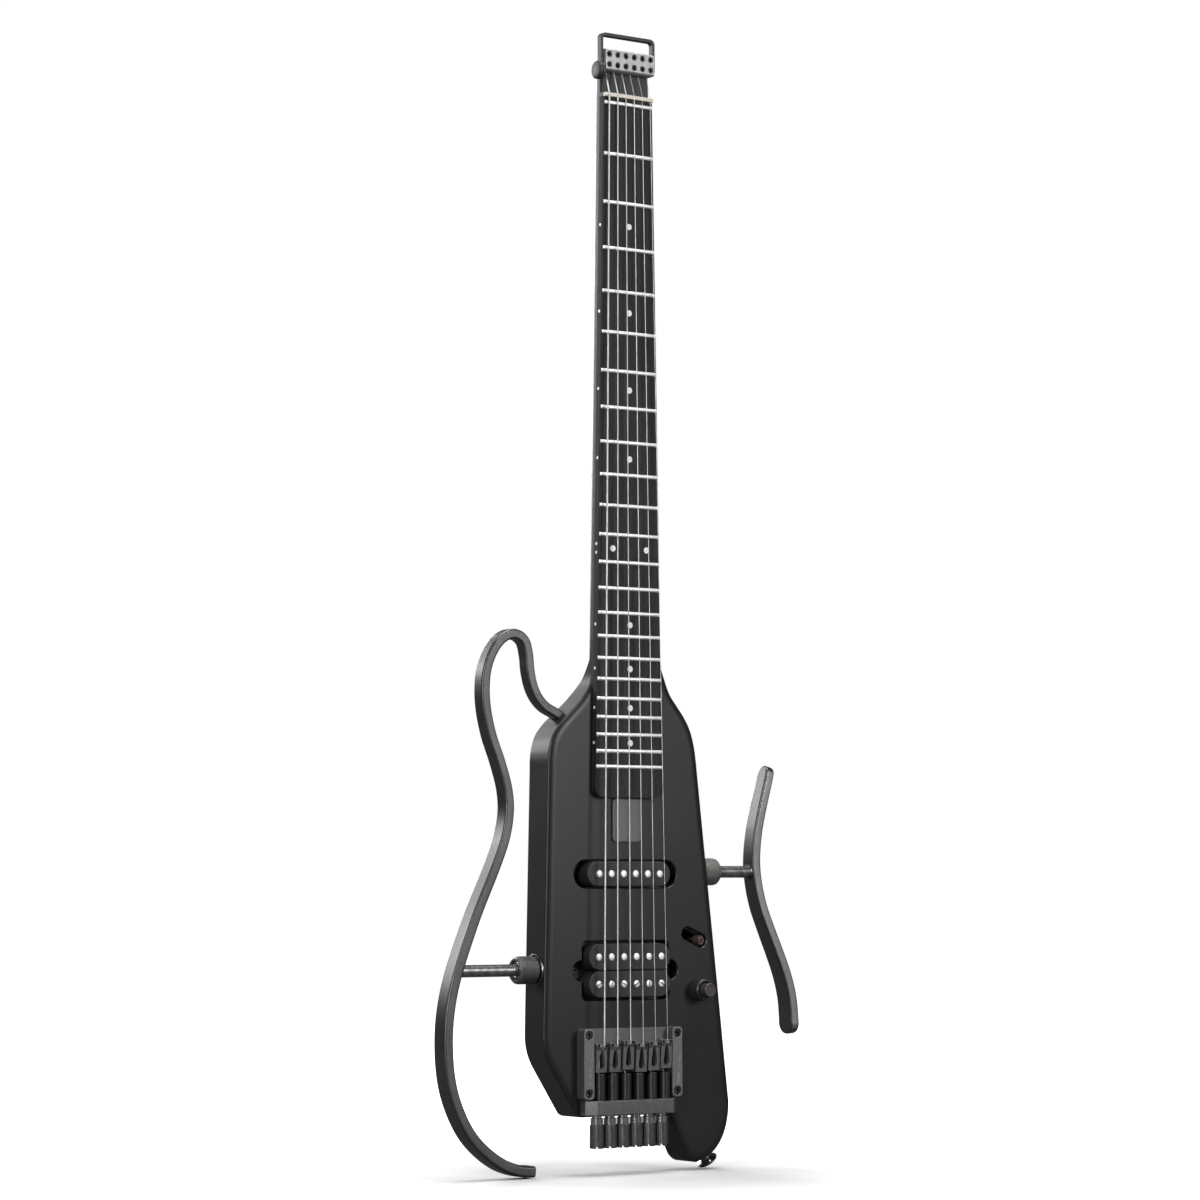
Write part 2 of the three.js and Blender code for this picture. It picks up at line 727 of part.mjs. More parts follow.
function controlCavityShape(inset) {
  return polygon([
    [cavityInner + inset, -cavityTop - inset], [cavityInner + inset, -cavityFoot + inset],
    [cavityOuterFoot - inset, -cavityFoot + inset], [cavityOuterTop - inset, -cavityTop - inset],
  ]);
}

function pickupCavities() {
  const front = bodyFace - overrun;
  const lobes = stadium(lobeReach + lobeRadius, 2 * lobeRadius, -humMid);
  const reach = humCavityTall / 2;
  const well = roundedBox(
    -humCavityHalf, humCavityHalf, -humMid - reach, -humMid + reach, humCavityCorner,
  );
  return [
    slab(stadium(singleCavityHalf, singleCavityTall, -singleMid), front, singleFloor, arcSteps),
    slab(well, front, humFloor, arcSteps / 2),
    slab(lobes, front, humFloor, arcSteps),
  ];
}

function controlCuts() {
  const cavityFront = bodyFace + cavityWood;
  const slot = extruded(stadium(slotLong / 2, slotTall, 0), cavityWood + 2 * overrun, arcSteps);
  slot.rotateX(Math.PI / 2).translate(0, cavityFront + overrun, 0);
  const sleeveHole = rod(sleeveRadius + seatGap, bodyFace - overrun, cavityFront + overrun, roundSides);
  return [
    slab(controlCavityShape(0), cavityFront, bodyBack + overrun),
    slab(controlCavityShape(-coverLip), bodyBack - coverThick - seatGap, bodyBack + overrun),
    solid(onSlot(slot)),
    alongY(sleeveHole, knobAcross, -knobDown),
  ];
}

// Socket in one side of the body for a frame's rod, with a flat for its bushing
function rodSocket(side, wall, down) {
  const from = side * (wall - socketDeep - seatGap);
  const to = side * (wall + bushingFlange);
  const hole = rod(rodRound + seatGap, Math.min(from, to), Math.max(from, to), roundSides);
  const flat = [side * wall, to].sort((a, b) => a - b);
  const spot = rod(bushingFlange + seatGap, flat[0], flat[1], roundSides);
  return [alongX(hole, barMid, -down), alongX(spot, barMid, -down)];
}

function jackCuts() {
  const long = jackPlateLong / 2 + seatGap;
  const wide = jackPlateWide / 2 + seatGap;
  const recess = roundedBox(barMid - wide, barMid + wide, -jackDown - long, -jackDown + long, wide);
  const hole = rod(
    jackBarrel + seatGap, jackSeat - jackBarrelLong - seatGap, jackSeat + overrun, roundSides,
  );
  return [
    sideSlab(recess, jackSeat, trebleHalf + overrun),
    alongX(hole, barMid, -jackDown),
  ];
}

// A strap button stands along its own Y axis, its pin below zero
function strapButton() {
  const edge = buttonHeadTall / 3;
  return turned([
    [0, -buttonPinLong], [buttonPin, -buttonPinLong], [buttonPin, 0], [buttonFoot, 0],
    [buttonWaist, buttonTall / 3], [buttonWaist, buttonTall - 2 * buttonHeadTall],
    [buttonHead, buttonTall - buttonHeadTall], [buttonHead, buttonTall - edge],
    [buttonHead - edge, buttonTall], [0, buttonTall],
  ], roundSides);
}

// From a button's own axis to its place square on the rounded corner of the body
function atLowButton(geometry, lift) {
  const foot = trebleCorner.getPoint(buttonShare);
  const along = trebleCorner.getTangent(buttonShare);
  geometry.translate(0, lift, 0).rotateX(-Math.PI / 2).rotateY(-Math.atan2(along.y, along.x));
  return geometry.translate(foot.x, barMid, foot.y);
}

function body() {
  const depth = bodyThick - 2 * edgeRound;
  const blank = new THREE.ExtrudeGeometry(bodyOutline(), {
    depth,
    bevelEnabled: true,
    bevelThickness: edgeRound,
    bevelSize: edgeRound,
    bevelOffset: -edgeRound,
    bevelSegments: edgeSteps,
    curveSegments: arcSteps,
  });
  blank.rotateX(Math.PI / 2).translate(0, bodyBack - edgeRound, 0);
  const rampSolid = sideSlab(backRamp(), -bassHalf - overrun, trebleHalf + 2 * overrun);
  const whole = solid(blank).intersect(rampSolid).add(heel());
  const pocketHalf = tenonHalf + seatGap;
  const pocketDepth = bodyFace + tenonDepth + seatGap;
  const pocket = box(
    -pocketHalf, pocketHalf, bodyFace - overrun, pocketDepth, -tenonFoot - seatGap, overrun,
  );
  const pegHole = rod(pegRadius + seatGap, -bassHalf, -pegTip + seatGap, smallSides);
  const buttonHole = rod(
    buttonPin + seatGap, -buttonPinLong - 2 * seatGap, buttonTall, smallSides,
  );
  return cutBy(whole, [
    pocket,
    ...pickupCavities(),
    ...controlCuts(),
    ...rodSocket(-1, bassWallAtRod, bassRodDown),
    ...rodSocket(1, trebleWallAtRod, trebleRodDown),
    alongX(pegHole, barMid, -pegDown),
    ...jackCuts(),
    solid(atLowButton(buttonHole, 0)),
  ]);
}

// Head clamp: strings go up their bores and two rows of screws hold them
function stringClamp() {
  const back = shelfFace - seatGap;
  const [low, high] = [clampLow, clampLow + clampTall];
  const side = polygon([
    [-clampFront, low + clampEdge], [-clampFront + clampEdge, low], [back, low], [back, high],
    [-clampFront + clampEdge, high], [-clampFront, high - clampEdge],
  ]);
  const blank = sideSlab(side, -clampHalf, clampHalf);
  const cuts = [];
  const rows = [-clampRowGap / 2, clampRowGap / 2].map((z) => low + clampTall / 2 + z);
  eachString((i) => {
    const x = spread(i, clampPitch);
    const bore = rod(stringBore, -low - boreLength, -low + overrun, smallSides);
    cuts.push(downwards(bore, x, clampBoreDepth));
    rows.forEach((z) => {
      const drop = -clampFront + clampScrewDrop;
      cuts.push(alongY(rod(clampScrew, -clampFront - overrun, drop, smallSides), x, z));
      cuts.push(slab(hexagon(hexSocket), drop - overrun, drop + hexDepth).translate([x, 0, z]));
    });
  });
  return cutBy(blank, cuts);
}

// Hanging loop: a bar bent round the end of the neck, with an eye on the bass side
function hangingLoop() {
  const outer = roundedBox(-loopOuter, loopOuter, loopFoot - 2 * loopCorner, loopTop, loopCorner);
  const innerCorner = loopCorner - loopThick;
  const inner = roundedBox(
    -loopOuter + loopThick, loopOuter - loopThick,
    loopFoot - 4 * loopCorner, loopTop - loopTopThick, innerCorner,
  );
  const back = loopFront + loopDepth;
  const foot = slab(
    roundedBox(-loopOuter - overrun, loopOuter + overrun, -neckTop, loopFoot, loopCorner),
    loopFront - overrun,
    back + overrun,
  );
  const gap = slab(inner, loopFront - overrun, back + overrun);
  const bow = cutBy(slab(outer, loopFront, back), [gap, foot]);
  const eyeMid = (loopFront + back) / 2;
  const legIn = -loopOuter + loopThick;
  const eye = alongX(rod(eyeRadius, -loopOuter, legIn, roundSides), eyeMid, eyeHigh);
  const pinHole = rod(headButtonPin + seatGap, -loopOuter - overrun, legIn + overrun, smallSides);
  return cutBy(bow.add(eye), [alongX(pinHole, eyeMid, eyeHigh)]);
}

function headStrapButton() {
  const eyeMid = loopFront + loopDepth / 2;
  const inner = -loopOuter - seatGap;
  const edge = headButtonReach / 4;
  const pinEnd = inner + loopThick + 2 * seatGap;
  return alongX(turned([
    [0, inner - headButtonReach], [eyeRadius - edge, inner - headButtonReach],
    [eyeRadius, inner - headButtonReach + edge], [eyeRadius, inner], [headButtonPin, inner],
    [headButtonPin, pinEnd], [0, pinEnd],
  ], roundSides), eyeMid, eyeHigh);
}

// Where each string runs
const saddleTopAt = (i) => -saddleTop + saddleSetShares[i] * saddleLong;
const stringAtSaddle = (i) => -stringRise - stringAcrossRise(i);
const tunerAxis = bodyFace - tunerRise;

function stringAcrossRise(i) {
  const outermost = spread(stringCount - 1, stringPitch);
  return camber(outermost, saddleArch) - camber(spread(i, stringPitch), saddleArch);
}

function wireRing(x, y, z, radius) {
  return circlePoints(radius, stringSides).map(([a, b]) => new THREE.Vector3(x + a, y + b, z));
}

function guitarString(i) {
  const r = stringRadii[i];
  const atNut = camber(spread(i, nutPitch), boardRadius) - r - seatGap;
  const crest = saddleTopAt(i) - saddleCrest - bodyTop;
  const end = -carriageTop - bodyTop;
  const clampX = spread(i, clampPitch);
  const stops = [
    [clampX, clampBoreDepth, clampLow + stringInClamp],
    [clampX, clampBoreDepth, clampLow],
    [spread(i, nutPitch), atNut, boardTopEnd + nutThick],
    [spread(i, nutPitch), atNut, 0],
    [spread(i, stringPitch), stringAtSaddle(i), crest + saddleCrest / 2],
    [spread(i, stringPitch), stringAtSaddle(i), crest],
    [spread(i, bridgePitch), bodyFace - carriageStringRise, end + seatGap],
    [spread(i, bridgePitch), bodyFace - carriageStringRise, end - stringInCarriage],
  ];
  return loft(stops.map(([x, y, z]) => wireRing(x, y, z, r)));
}

// Saddle: a wedge with a crest, a teardrop window and two height screws
function saddle(i) {
  const x = spread(i, bridgePitch);
  const top = saddleTopAt(i);
  const low = top - saddleLong;
  const crestY = stringAtSaddle(i) + stringRadii[i] + seatGap;
  const face = crestY + saddleEndDrop;
  const foot = bodyFace - plateThick - seatGap;
  const profile = polygon([
    [face, top], [foot - saddleFoot, top], [foot, top - saddleFoot], [foot, low],
    [face + saddleTailDrop, low], [face, top - 2 * saddleCrest], [crestY, top - saddleCrest],
  ]);
  const half = saddleWide / 2;
  const blank = sideSlab(profile, x - half, x + half);
  const bottom = low + tearFromTail + tearRadius;
  const tear = new THREE.Shape();
  tear.moveTo(-tearTip, bottom + tearLong - tearRadius);
  tear.quadraticCurveTo(-tearRadius, bottom + tearRadius, -tearRadius, bottom);
  tear.absarc(0, bottom, tearRadius, Math.PI, 2 * Math.PI, false);
  tear.quadraticCurveTo(tearRadius, bottom + tearRadius, tearTip, bottom + tearLong - tearRadius);
  const front = crestY - overrun;
  const window = slab(tear, front, bodyFace, arcSteps).translate([x, 0, 0]);
  const slotTop = top - saddleCrest - tearRadius;
  const channel = box(
    x - stringSlot, x + stringSlot, crestY + saddlePlate, bodyFace, low - overrun, slotTop,
  );
  const screws = [-1, 1].map((side) => alongY(
    rod(heightScrew, front, face + heightScrewDepth, stringSides),
    x + side * (half - heightScrewInset),
    top - heightScrewInset,
  ));
  return cutBy(blank, [window, channel, ...screws]);
}

// Bridge base: a plate between two rails, open under the carriages
function bridgeBase() {
  const low = bridgeTop + railLong;
  const face = bodyFace - railRise;
  const cuts = [];
  const rails = [-1, 1].map((side) => {
    const outer = side * bridgeHalf;
    const inner = side * (bridgeHalf - railWide);
    const mid = (outer + inner) / 2;
    [bridgeTop + railScrewInset, low - railScrewInset].forEach((down) => {
      const drop = face + railScrewDrop;
      cuts.push(alongY(rod(railScrew, face - overrun, drop, smallSides), mid, -down));
      cuts.push(slab(hexagon(hexSocket), drop - overrun, drop + hexDepth).translate([mid, 0, -down]));
    });
    const [from, to] = [outer, inner].sort((a, b) => a - b);
    return slab(roundedBox(from, to, -low, -bridgeTop, railCorner), face, bodyFace, arcSteps / 2);
  });
  const plate = box(
    -bridgeHalf + railCorner, bridgeHalf - railCorner, bodyFace - plateThick, bodyFace, -low, -bridgeTop,
  );
  const half = bridgeHalf - railWide;
  const above = bodyFace - plateThick - overrun;
  cuts.push(box(-half, half, above, bodyFace + overrun, -low - overrun, -windowTop));
  return cutBy(joined([plate, ...rails]), cuts);
}

// Cross bar below the rails, with slanting ends, that the tuner screws pass through
function tunerBar() {
  const plan = polygon([
    [-barHalf, bodyFace - seatGap], [-barHalf, bodyFace - barShoulder],
    [-barFrontHalf, bodyFace - barRise], [barFrontHalf, bodyFace - barRise],
    [barHalf, bodyFace - barShoulder], [barHalf, bodyFace - seatGap],
  ]);
  const blank = column(plan, -barTop - barTall, -barTop);
  const reach = carriageRadius + seatGap;
  const pocketEnd = carriageTop + carriageLong + carriageTravel + seatGap;
  const cuts = eachString((i) => {
    const x = spread(i, bridgePitch);
    const front = bodyFace - carriageRise - seatGap;
    const pocket = roundedBox(x - reach, x + reach, front, bodyFace + reach, reach);
    const hole = rod(tunerScrew + seatGap, barTop, barTop + barTall + overrun, smallSides);
    return column(pocket, -pocketEnd, -barTop + overrun).add(downwards(hole, x, tunerAxis));
  });
  return cutBy(blank, cuts);
}

// Carriage: holds the string's end and is drawn down by the tuner's screw
function carriage(i) {
  const x = spread(i, bridgePitch);
  const low = carriageTop + carriageLong;
  const plan = roundedBox(
    x - carriageRadius, x + carriageRadius, bodyFace - carriageRise, bodyFace - seatGap, carriageRadius,
  );
  const stringHole = rod(
    carriageStringBore, carriageTop - overrun, carriageTop + carriageStringDepth, smallSides,
  );
  const screwHole = rod(tunerScrew + seatGap, low - carriageScrewDepth, low + overrun, smallSides);
  return cutBy(column(plan, -low, -carriageTop), [
    downwards(stringHole, x, bodyFace - carriageStringRise),
    downwards(screwHole, x, tunerAxis),
  ]);
}

// Tuner: a ridged head below the cross bar on a neck and a screw that reaches the carriage
function tuner(i) {
  const neckTopDown = barTop + barTall + seatGap;
  const collarTop = bodyEnd + seatGap;
  const headTop = neckTopDown + tunerNeckLong;
  const headLow = headTop + tunerHeadLong;
  const screwTop = carriageTop + carriageLong - tunerScrewReach;
  const x = spread(i, bridgePitch);
  const stem = downwards(turned([
    [0, screwTop], [tunerScrew, screwTop], [tunerScrew, neckTopDown], [tunerNeck, neckTopDown],
    [tunerNeck, collarTop], [tunerCollar, collarTop], [tunerCollar, headTop + overrun],
    [0, headTop + overrun],
  ], smallSides), x, tunerAxis);
  const knurl = ridged(tunerHead, tunerRidge, tunerRidges);
  const grip = column(knurl, -headLow, -headTop).translate([x, tunerAxis, 0]);
  const notches = [];
  for (let n = 0; n < castleNotches; n += 1) {
    const bar = new THREE.BoxGeometry(3 * tunerHead, 2 * castleHalf, 2 * castleDepth);
    bar.rotateZ((Math.PI * n) / castleNotches).translate(x, tunerAxis, -headLow);
    notches.push(solid(bar));
  }
  const cup = downwards(
    rod(tunerHead - 2 * castleHalf, headLow - castleDepth, headLow + overrun, smallSides), x, tunerAxis,
  );
  return cutBy(joined([stem, grip]), [cup, ...notches]);
}

// Single coil: cover with its poles, on a plate with two ears
function singleCoil() {
  const face = bodyFace - singleRise;
  const floor = bodyFace + singleDeep;
  const cover = slab(stadium(singleHalf, singleTall, -singleMid), face, floor, arcSteps);
  const earTop = floor - singleEarThick;
  const ears = slab(stadium(singleEar, singleEarTall, -singleMid), earTop, floor, arcSteps);
  const poles = eachString((i) => alongY(
    rod(poleRadius, face - singlePoleRise, face + overrun, smallSides),
    spread(i, singlePolePitch),
    -singleMid,
  ));
  const screws = [-1, 1].map((side) => alongY(
    rod(earScrewHead, earTop - earScrewTall, floor - singleEarThick / 2, smallSides),
    side * (singleEar - earScrewInset + seatGap),
    -singleMid,
  ));
  return joined([cover, ears, ...poles, ...screws]);
}

// One coil of the humbucker. The lower one has slotted pole screws, the upper one plain slugs.
function bobbin(side, slotted) {
  const mid = -humMid + (side * (bobbinTall + bobbinGap)) / 2;
  const face = bodyFace - humRise;
  const coil = slab(stadium(bobbinHalf, bobbinTall, mid), face, bodyFace + humDeep, arcSteps);
  const poles = eachString((i) => alongY(
    rod(poleRadius, face - humPoleRise, face + overrun, smallSides), spread(i, humPolePitch), mid,
  ));
  const slots = slotted ? eachString((i) => {
    const bar = new THREE.BoxGeometry(3 * poleRadius, 2 * humPoleRise, 2 * screwSlotHalf);
    bar.rotateY(((i * 2 + 1) * Math.PI) / stringCount);
    return solid(bar.translate(spread(i, humPolePitch), face - humPoleRise, mid));
  }) : [];
  return cutBy(joined([coil, ...poles]), slots);
}

function humbuckerPlate() {
  const top = bodyFace + humDeep + seatGap;
  const low = top + humPlateThick;
  const tall = 2 * bobbinTall + bobbinGap;
  const plate = roundedBox(
    -bobbinHalf, bobbinHalf, -humMid - tall / 2, -humMid + tall / 2, humCavityCorner,
  );
  const ears = slab(stadium(humEar, humEarTall, -humMid), top, low, arcSteps);
  const screws = [-1, 1].map((side) => alongY(
    rod(earScrewHead, top - earScrewTall, low - seatGap, smallSides),
    side * (humEar - earScrewInset),
    -humMid,
  ));
  return joined([slab(plate, top, low, arcSteps / 2), ears, ...screws]);
}

function plaque() {
  const low = -plaqueTop - plaqueTall;
  const plan = roundedBox(-plaqueHalf, plaqueHalf, low, -plaqueTop, plaqueCorner);
  return slab(plan, bodyFace - plaqueThick, bodyFace, arcSteps / 2);
}

// Lever, drawn round its own pivot and standing towards the front
function selectorLever() {
  const capFront = -(leverPivotDeep + leverRise);
  const cap = solid(turned([
    [0, capFront], [leverRadius - leverDome, capFront], [leverRadius, capFront + leverDome],
    [leverRadius, capFront + leverCapLong], [0, capFront + leverCapLong],
  ], roundSides));
  const stem = solid(rod(leverStem, capFront + leverCapLong - overrun, 0, smallSides));
  const barrel = downwards(rod(leverPivotRadius, -leverPivotHalf, leverPivotHalf, smallSides), 0, 0);
  return joined([cap, stem, barrel]);
}

// The switch under the slot: two cheeks on a base, with the lever's pivot between them
function selectorSwitch() {
  const top = seatGap + cavityWood - leverPivotDeep;
  const baseTop = leverPivotRadius + seatGap;
  const cheekIn = leverPivotHalf + seatGap;
  const cheeks = [-1, 1].map((side) => {
    const z = [side * cheekIn, side * (cheekIn + switchCheek)].sort((a, b) => a - b);
    return box(-switchHalf, switchHalf, top, baseTop + overrun, z[0], z[1]);
  });
  const wide = cheekIn + switchCheek;
  return joined([box(-switchHalf, switchHalf, baseTop, baseTop + switchBase, -wide, wide), ...cheeks]);
}

// The outer of two knobs on one axis: a ridged ring on a sleeve
function outerKnob() {
  const front = bodyFace - knobTall;
  const back = bodyFace - seatGap;
  const grip = slab(ridged(knobRadius, knobRidge, knobRidges), front + knobRim, back);
  const rim = solid(turned([
    [0, front], [knobRadius - 2 * knobRidge, front], [knobRadius - knobRidge, front + knobRim],
    [knobRadius - knobRidge, front + knobRim + overrun], [0, front + knobRim + overrun],
  ], roundSides));
  const sleeveEnd = bodyFace + cavityWood + potCollarTall - seatGap;
  const sleeve = solid(rod(sleeveRadius, back - overrun, sleeveEnd, roundSides));
  const well = solid(rod(knobWell, front - overrun, front + knobWellDeep, roundSides));
  const bore = solid(rod(shaftRadius + seatGap, front, sleeveEnd + overrun, roundSides));
  return cutBy(joined([grip, rim, sleeve]), [well, bore]).translate([knobAcross, 0, -knobDown]);
}

function innerKnob() {
  const front = bodyFace - knobTall - stemRise;
  const foot = bodyFace - knobTall + knobWellDeep - seatGap;
  const end = bodyFace + cavityWood + potCollarTall - seatGap;
  return alongY(turned([
    [0, front], [stemRadius - stemEdge, front], [stemRadius, front + stemEdge], [stemRadius, foot],
    [shaftRadius, foot], [shaftRadius, end], [0, end],
  ], roundSides), knobAcross, -knobDown);
}

function pot() {
  const top = bodyFace + cavityWood + seatGap;
  const shoulder = top + potCollarTall;
  const collarIn = sleeveRadius + seatGap;
  return alongY(turned([
    [0, shoulder], [collarIn, shoulder], [collarIn, top], [potCollar, top], [potCollar, shoulder],
    [potRadius, shoulder], [potRadius, shoulder + potTall], [0, shoulder + potTall],
  ], roundSides), knobAcross, -knobDown);
}

function backCover() {
  const low = bodyBack - coverThick;
  const plate = slab(controlCavityShape(-coverLip + seatGap), low, bodyBack);
  const reach = coverLip - coverScrewInset;
  const corners = [
    [cavityInner - reach, -cavityTop + reach], [cavityInner - reach, -cavityFoot - reach],
    [cavityOuterFoot + reach, -cavityFoot - reach], [cavityOuterTop + reach, -cavityTop + reach],
  ];
  const screws = corners.map(([x, z]) => alongY(
    rod(coverScrew - coverScrewDrop, bodyBack - coverScrewDrop, bodyBack + overrun, smallSides), x, z,
  ));
  return cutBy(plate, screws);
}

// Bushing on the body's side: a flange and a neck that the collar turns on
function bushing(side, wall, down) {
  const near = wall + seatGap;
  const neckEnd = near + bushingFlangeThick + bushingNeckLong;
  const bore = rodRound + seatGap;
  const profile = [
    [bore, near], [bushingFlange, near], [bushingFlange, near + bushingFlangeThick],
    [bushingNeck, near + bushingFlangeThick], [bushingNeck, neckEnd], [bore, neckEnd], [bore, near],
  ].map(([r, along]) => [r, side * along]);
  return alongX(turned(profile, roundSides), barMid, -down);
}

// Knurled collar that closes on the rod
function collar(side, wall, down) {
  const near = wall + 2 * seatGap + bushingFlangeThick;
  const far = near + collarLong;
  const ends = [side * near, side * (far - collarRim)].sort((a, b) => a - b);
  const grip = sideSlab(ridged(collarRadius, collarRidge, collarRidges), ends[0], ends[1]);
  const rimFrom = far - collarRim - overrun;
  const smooth = collarRadius - collarRidge;
  const rim = solid(turned([
    [0, side * rimFrom], [smooth, side * rimFrom], [smooth, side * (far - collarRim)],
    [smooth - collarRim, side * far], [0, side * far],
  ], roundSides).rotateZ(-Math.PI / 2));
  const neckBore = bushingNeckLong + 2 * seatGap;
  const bores = [
    rod(bushingNeck + seatGap, side * (near - overrun), side * (near + neckBore), roundSides),
    rod(rodRound + seatGap, side * near, side * (far + overrun), roundSides),
  ].map((g) => solid(g.rotateZ(-Math.PI / 2)));
  return cutBy(grip.add(rim), bores).translate([0, barMid, -down]);
}

// Rounded oblong section of a frame's bar, across the bar and through its depth
function barSection(thick, deep, inset) {
  const r = barCornerShare * thick;
  const [a, b] = [thick / 2 - r, deep / 2 - r];
  const ring = [];
  const corners = [[1, 1], [-1, 1], [-1, -1], [1, -1]];
  corners.forEach(([sx, sy], q) => {
    for (let i = 0; i <= sectionSteps; i += 1) {
      const turn = ((q + i / sectionSteps) * Math.PI) / 2;
      const reach = Math.max(r - inset, r / arcSteps);
      const shrink = Math.max(inset - r, 0);
      ring.push([
        sx * Math.max(a - shrink, 0) + reach * Math.cos(turn),
        sy * Math.max(b - shrink, 0) + reach * Math.sin(turn),
      ]);
    }
  });
  return ring;
}

// A bar bent along a flat path, its thickness and depth growing from one end to the other
function bentBar(path, stops, thick, deep, nose) {
  const steps = Math.round(barFineness * (stops - 1));
  const lengths = path.getLengths(steps);
  const total = lengths[steps];
  const between = ([from, to], u) => from + (to - from) * u;
  const ringAt = (u, shift, inset) => {
    const along = path.getTangentAt(u);
    const centre = path.getPointAt(u).addScaledVector(along, shift);
    const across = new THREE.Vector3(-along.z, 0, along.x);
    return barSection(between(thick, u), between(deep, u), inset).map(([a, b]) =>
      centre.clone().addScaledVector(across, a).add(new THREE.Vector3(0, b, 0)));
  };
  const noseAt = (u, round, outward) => noseShares.map((share) => {
    const turn = (share * Math.PI) / 2;
    return ringAt(u, outward * round * Math.cos(turn), round * (1 - Math.sin(turn)));
  });
  const [start, end] = [nose[0] / total, 1 - nose[1] / total];
  const room = 2 * (nose[0] + nose[1]) / total;
  const inner = lengths.map((l) => l / total).filter((u) => u > room && u < 1 - room);
  return loft([
    ...noseAt(start, nose[0], -1),
    ...[start, ...inner, end].map((u) => ringAt(u, 0, 0)),
    ...noseAt(end, nose[1], 1).reverse(),
  ]);
}

function framePath(shares, reach, top, tall) {
  return new THREE.CatmullRomCurve3(
    shares.map(([out, down]) => new THREE.Vector3(reach * out, barMid, -top - down * tall)),
    false,
    'centripetal',
  );
}

const waistPath = framePath(waistShares, -waistReach, -waistRise, waistTall);
const restPath = framePath(restShares, restReach, restTop, restTall);

// How far out a frame's middle line is where its rod meets it
function reachAt(path, down) {
  const near = path.getPoints(20 * arcSteps).filter((p) => Math.abs(p.x) > bassHalf);
  near.sort((a, b) => Math.abs(a.z + down) - Math.abs(b.z + down));
  return Math.abs(near[0].x);
}

const waistAtRod = reachAt(waistPath, bassRodDown);
const restAtRod = reachAt(restPath, trebleRodDown);

function rodBore(side, reach, down) {
  const ends = [reach - rodShort + seatGap, reach - waistDeepAtFoot].map((end) => side * end);
  const hole = rod(rodRound + seatGap, Math.min(...ends), Math.max(...ends), roundSides);
  return alongX(hole, barMid, -down);
}

function waistFrame() {
  const thick = [waistThickAtRoot, waistThickAtFoot];
  const deep = [waistDeepAtRoot, waistDeepAtFoot];
  const bar = bentBar(waistPath, waistShares.length, thick, deep, [seatGap, footNoseRound]);
  const clear = shoulderLine - seatGap * Math.SQRT2;
  const inBody = slab(polygon([
    [-tenonHalf, -clear - tenonHalf], [-bassHalf, -clear - bassHalf], [-tenonHalf, -clear - bassHalf],
  ]), barMid - waistDeepAtFoot, barMid + waistDeepAtFoot);
  const peg = alongX(rod(pegRadius, -pegRoot, -pegTip, smallSides), barMid, -pegDown);
  return cutBy(bar, [inBody, rodBore(-1, waistAtRod, bassRodDown)]).add(peg);
}

function legRest() {
  const deep = [restDeepAtTop, restDeepAtFoot];
  const bar = bentBar(restPath, restShares.length, [restThick, restThick], deep, [noseRound, noseRound]);
  return cutBy(bar, [rodBore(1, restAtRod, trebleRodDown)]);
}

function frameRod(side, wall, reach, down) {
  const ends = [side * (wall - socketDeep), side * (reach - rodShort)].sort((a, b) => a - b);
  return alongX(rod(rodRound, ends[0], ends[1], roundSides), barMid, -down);
}

function outputJack() {
  const near = jackSeat + seatGap;
  const face = near + jackPlateThick;
  const end = jackSeat - jackBarrelLong;
  const [long, wide] = [jackPlateLong / 2, jackPlateWide / 2];
  const plan = roundedBox(barMid - wide, barMid + wide, -jackDown - long, -jackDown + long, wide);
  const plate = sideSlab(plan, near, face);
  const barrel = alongX(rod(jackBarrel, end, near + seatGap, roundSides), barMid, -jackDown);
  const bore = alongX(rod(jackBore, end + jackBore, face + overrun, roundSides), barMid, -jackDown);
  const screws = [-1, 1].map((side) => alongX(
    rod(jackScrew, face - jackScrewDrop, face + overrun, smallSides),
    barMid,
    -jackDown + (side * jackScrewGap) / 2,
  ));
  return cutBy(plate.add(barrel), [bore, ...screws]);
}

const guitar = new THREE.Group();
guitar.name = 'travel_guitar';
const onBody = new THREE.Group(); // laid out from the body's upper end
onBody.position.z = -bodyTop;
guitar.add(onBody);

function addTo(group, name, made, material) {
  const mesh = new THREE.Mesh(geometryOf(made), material.clone());
  mesh.name = name;
  group.add(mesh);
  return mesh;
}

addTo(onBody, 'body', body(), satinBlack);
addTo(guitar, 'neck', neck(), satinBlack);
addTo(guitar, 'truss_rod', trussRod(), darkMetal);
addTo(guitar, 'fretboard', fretboard(), boardBlack);
addTo(guitar, 'nut', nut(), boneCream);
addTo(guitar, 'string_clamp', stringClamp(), clampGrey);
addTo(guitar, 'hanging_loop', hangingLoop(), gunmetal);
addTo(guitar, 'head_strap_button', headStrapButton(), gunmetal);
addTo(onBody, 'bridge_base', bridgeBase(), bridgeGrey);
addTo(onBody, 'tuner_bar', tunerBar(), bridgeGrey);
eachString((i) => {
  const number = stringCount - i;
  addTo(guitar, `string_${number}`, guitarString(i), nickel);
  addTo(onBody, `saddle_${number}`, saddle(i), bridgeGrey);
  addTo(onBody, `carriage_${number}`, carriage(i), darkMetal);
  addTo(onBody, `tuner_${number}`, tuner(i), darkMetal);
});
addTo(onBody, 'single_coil', singleCoil(), bobbinBlack);
addTo(onBody, 'humbucker_upper_coil', bobbin(1, false), bobbinBlack);
addTo(onBody, 'humbucker_lower_coil', bobbin(-1, true), bobbinBlack);
addTo(onBody, 'humbucker_plate', humbuckerPlate(), darkMetal);
addTo(onBody, 'plaque', plaque(), plaqueGrey);
addTo(onBody, 'outer_knob', outerKnob(), knobBrown);
addTo(onBody, 'inner_knob', innerKnob(), knobBrown);
addTo(onBody, 'potentiometer', pot(), darkMetal);
addTo(onBody, 'back_cover', backCover(), satinBlack);
addTo(onBody, 'output_jack', outputJack(), darkMetal);
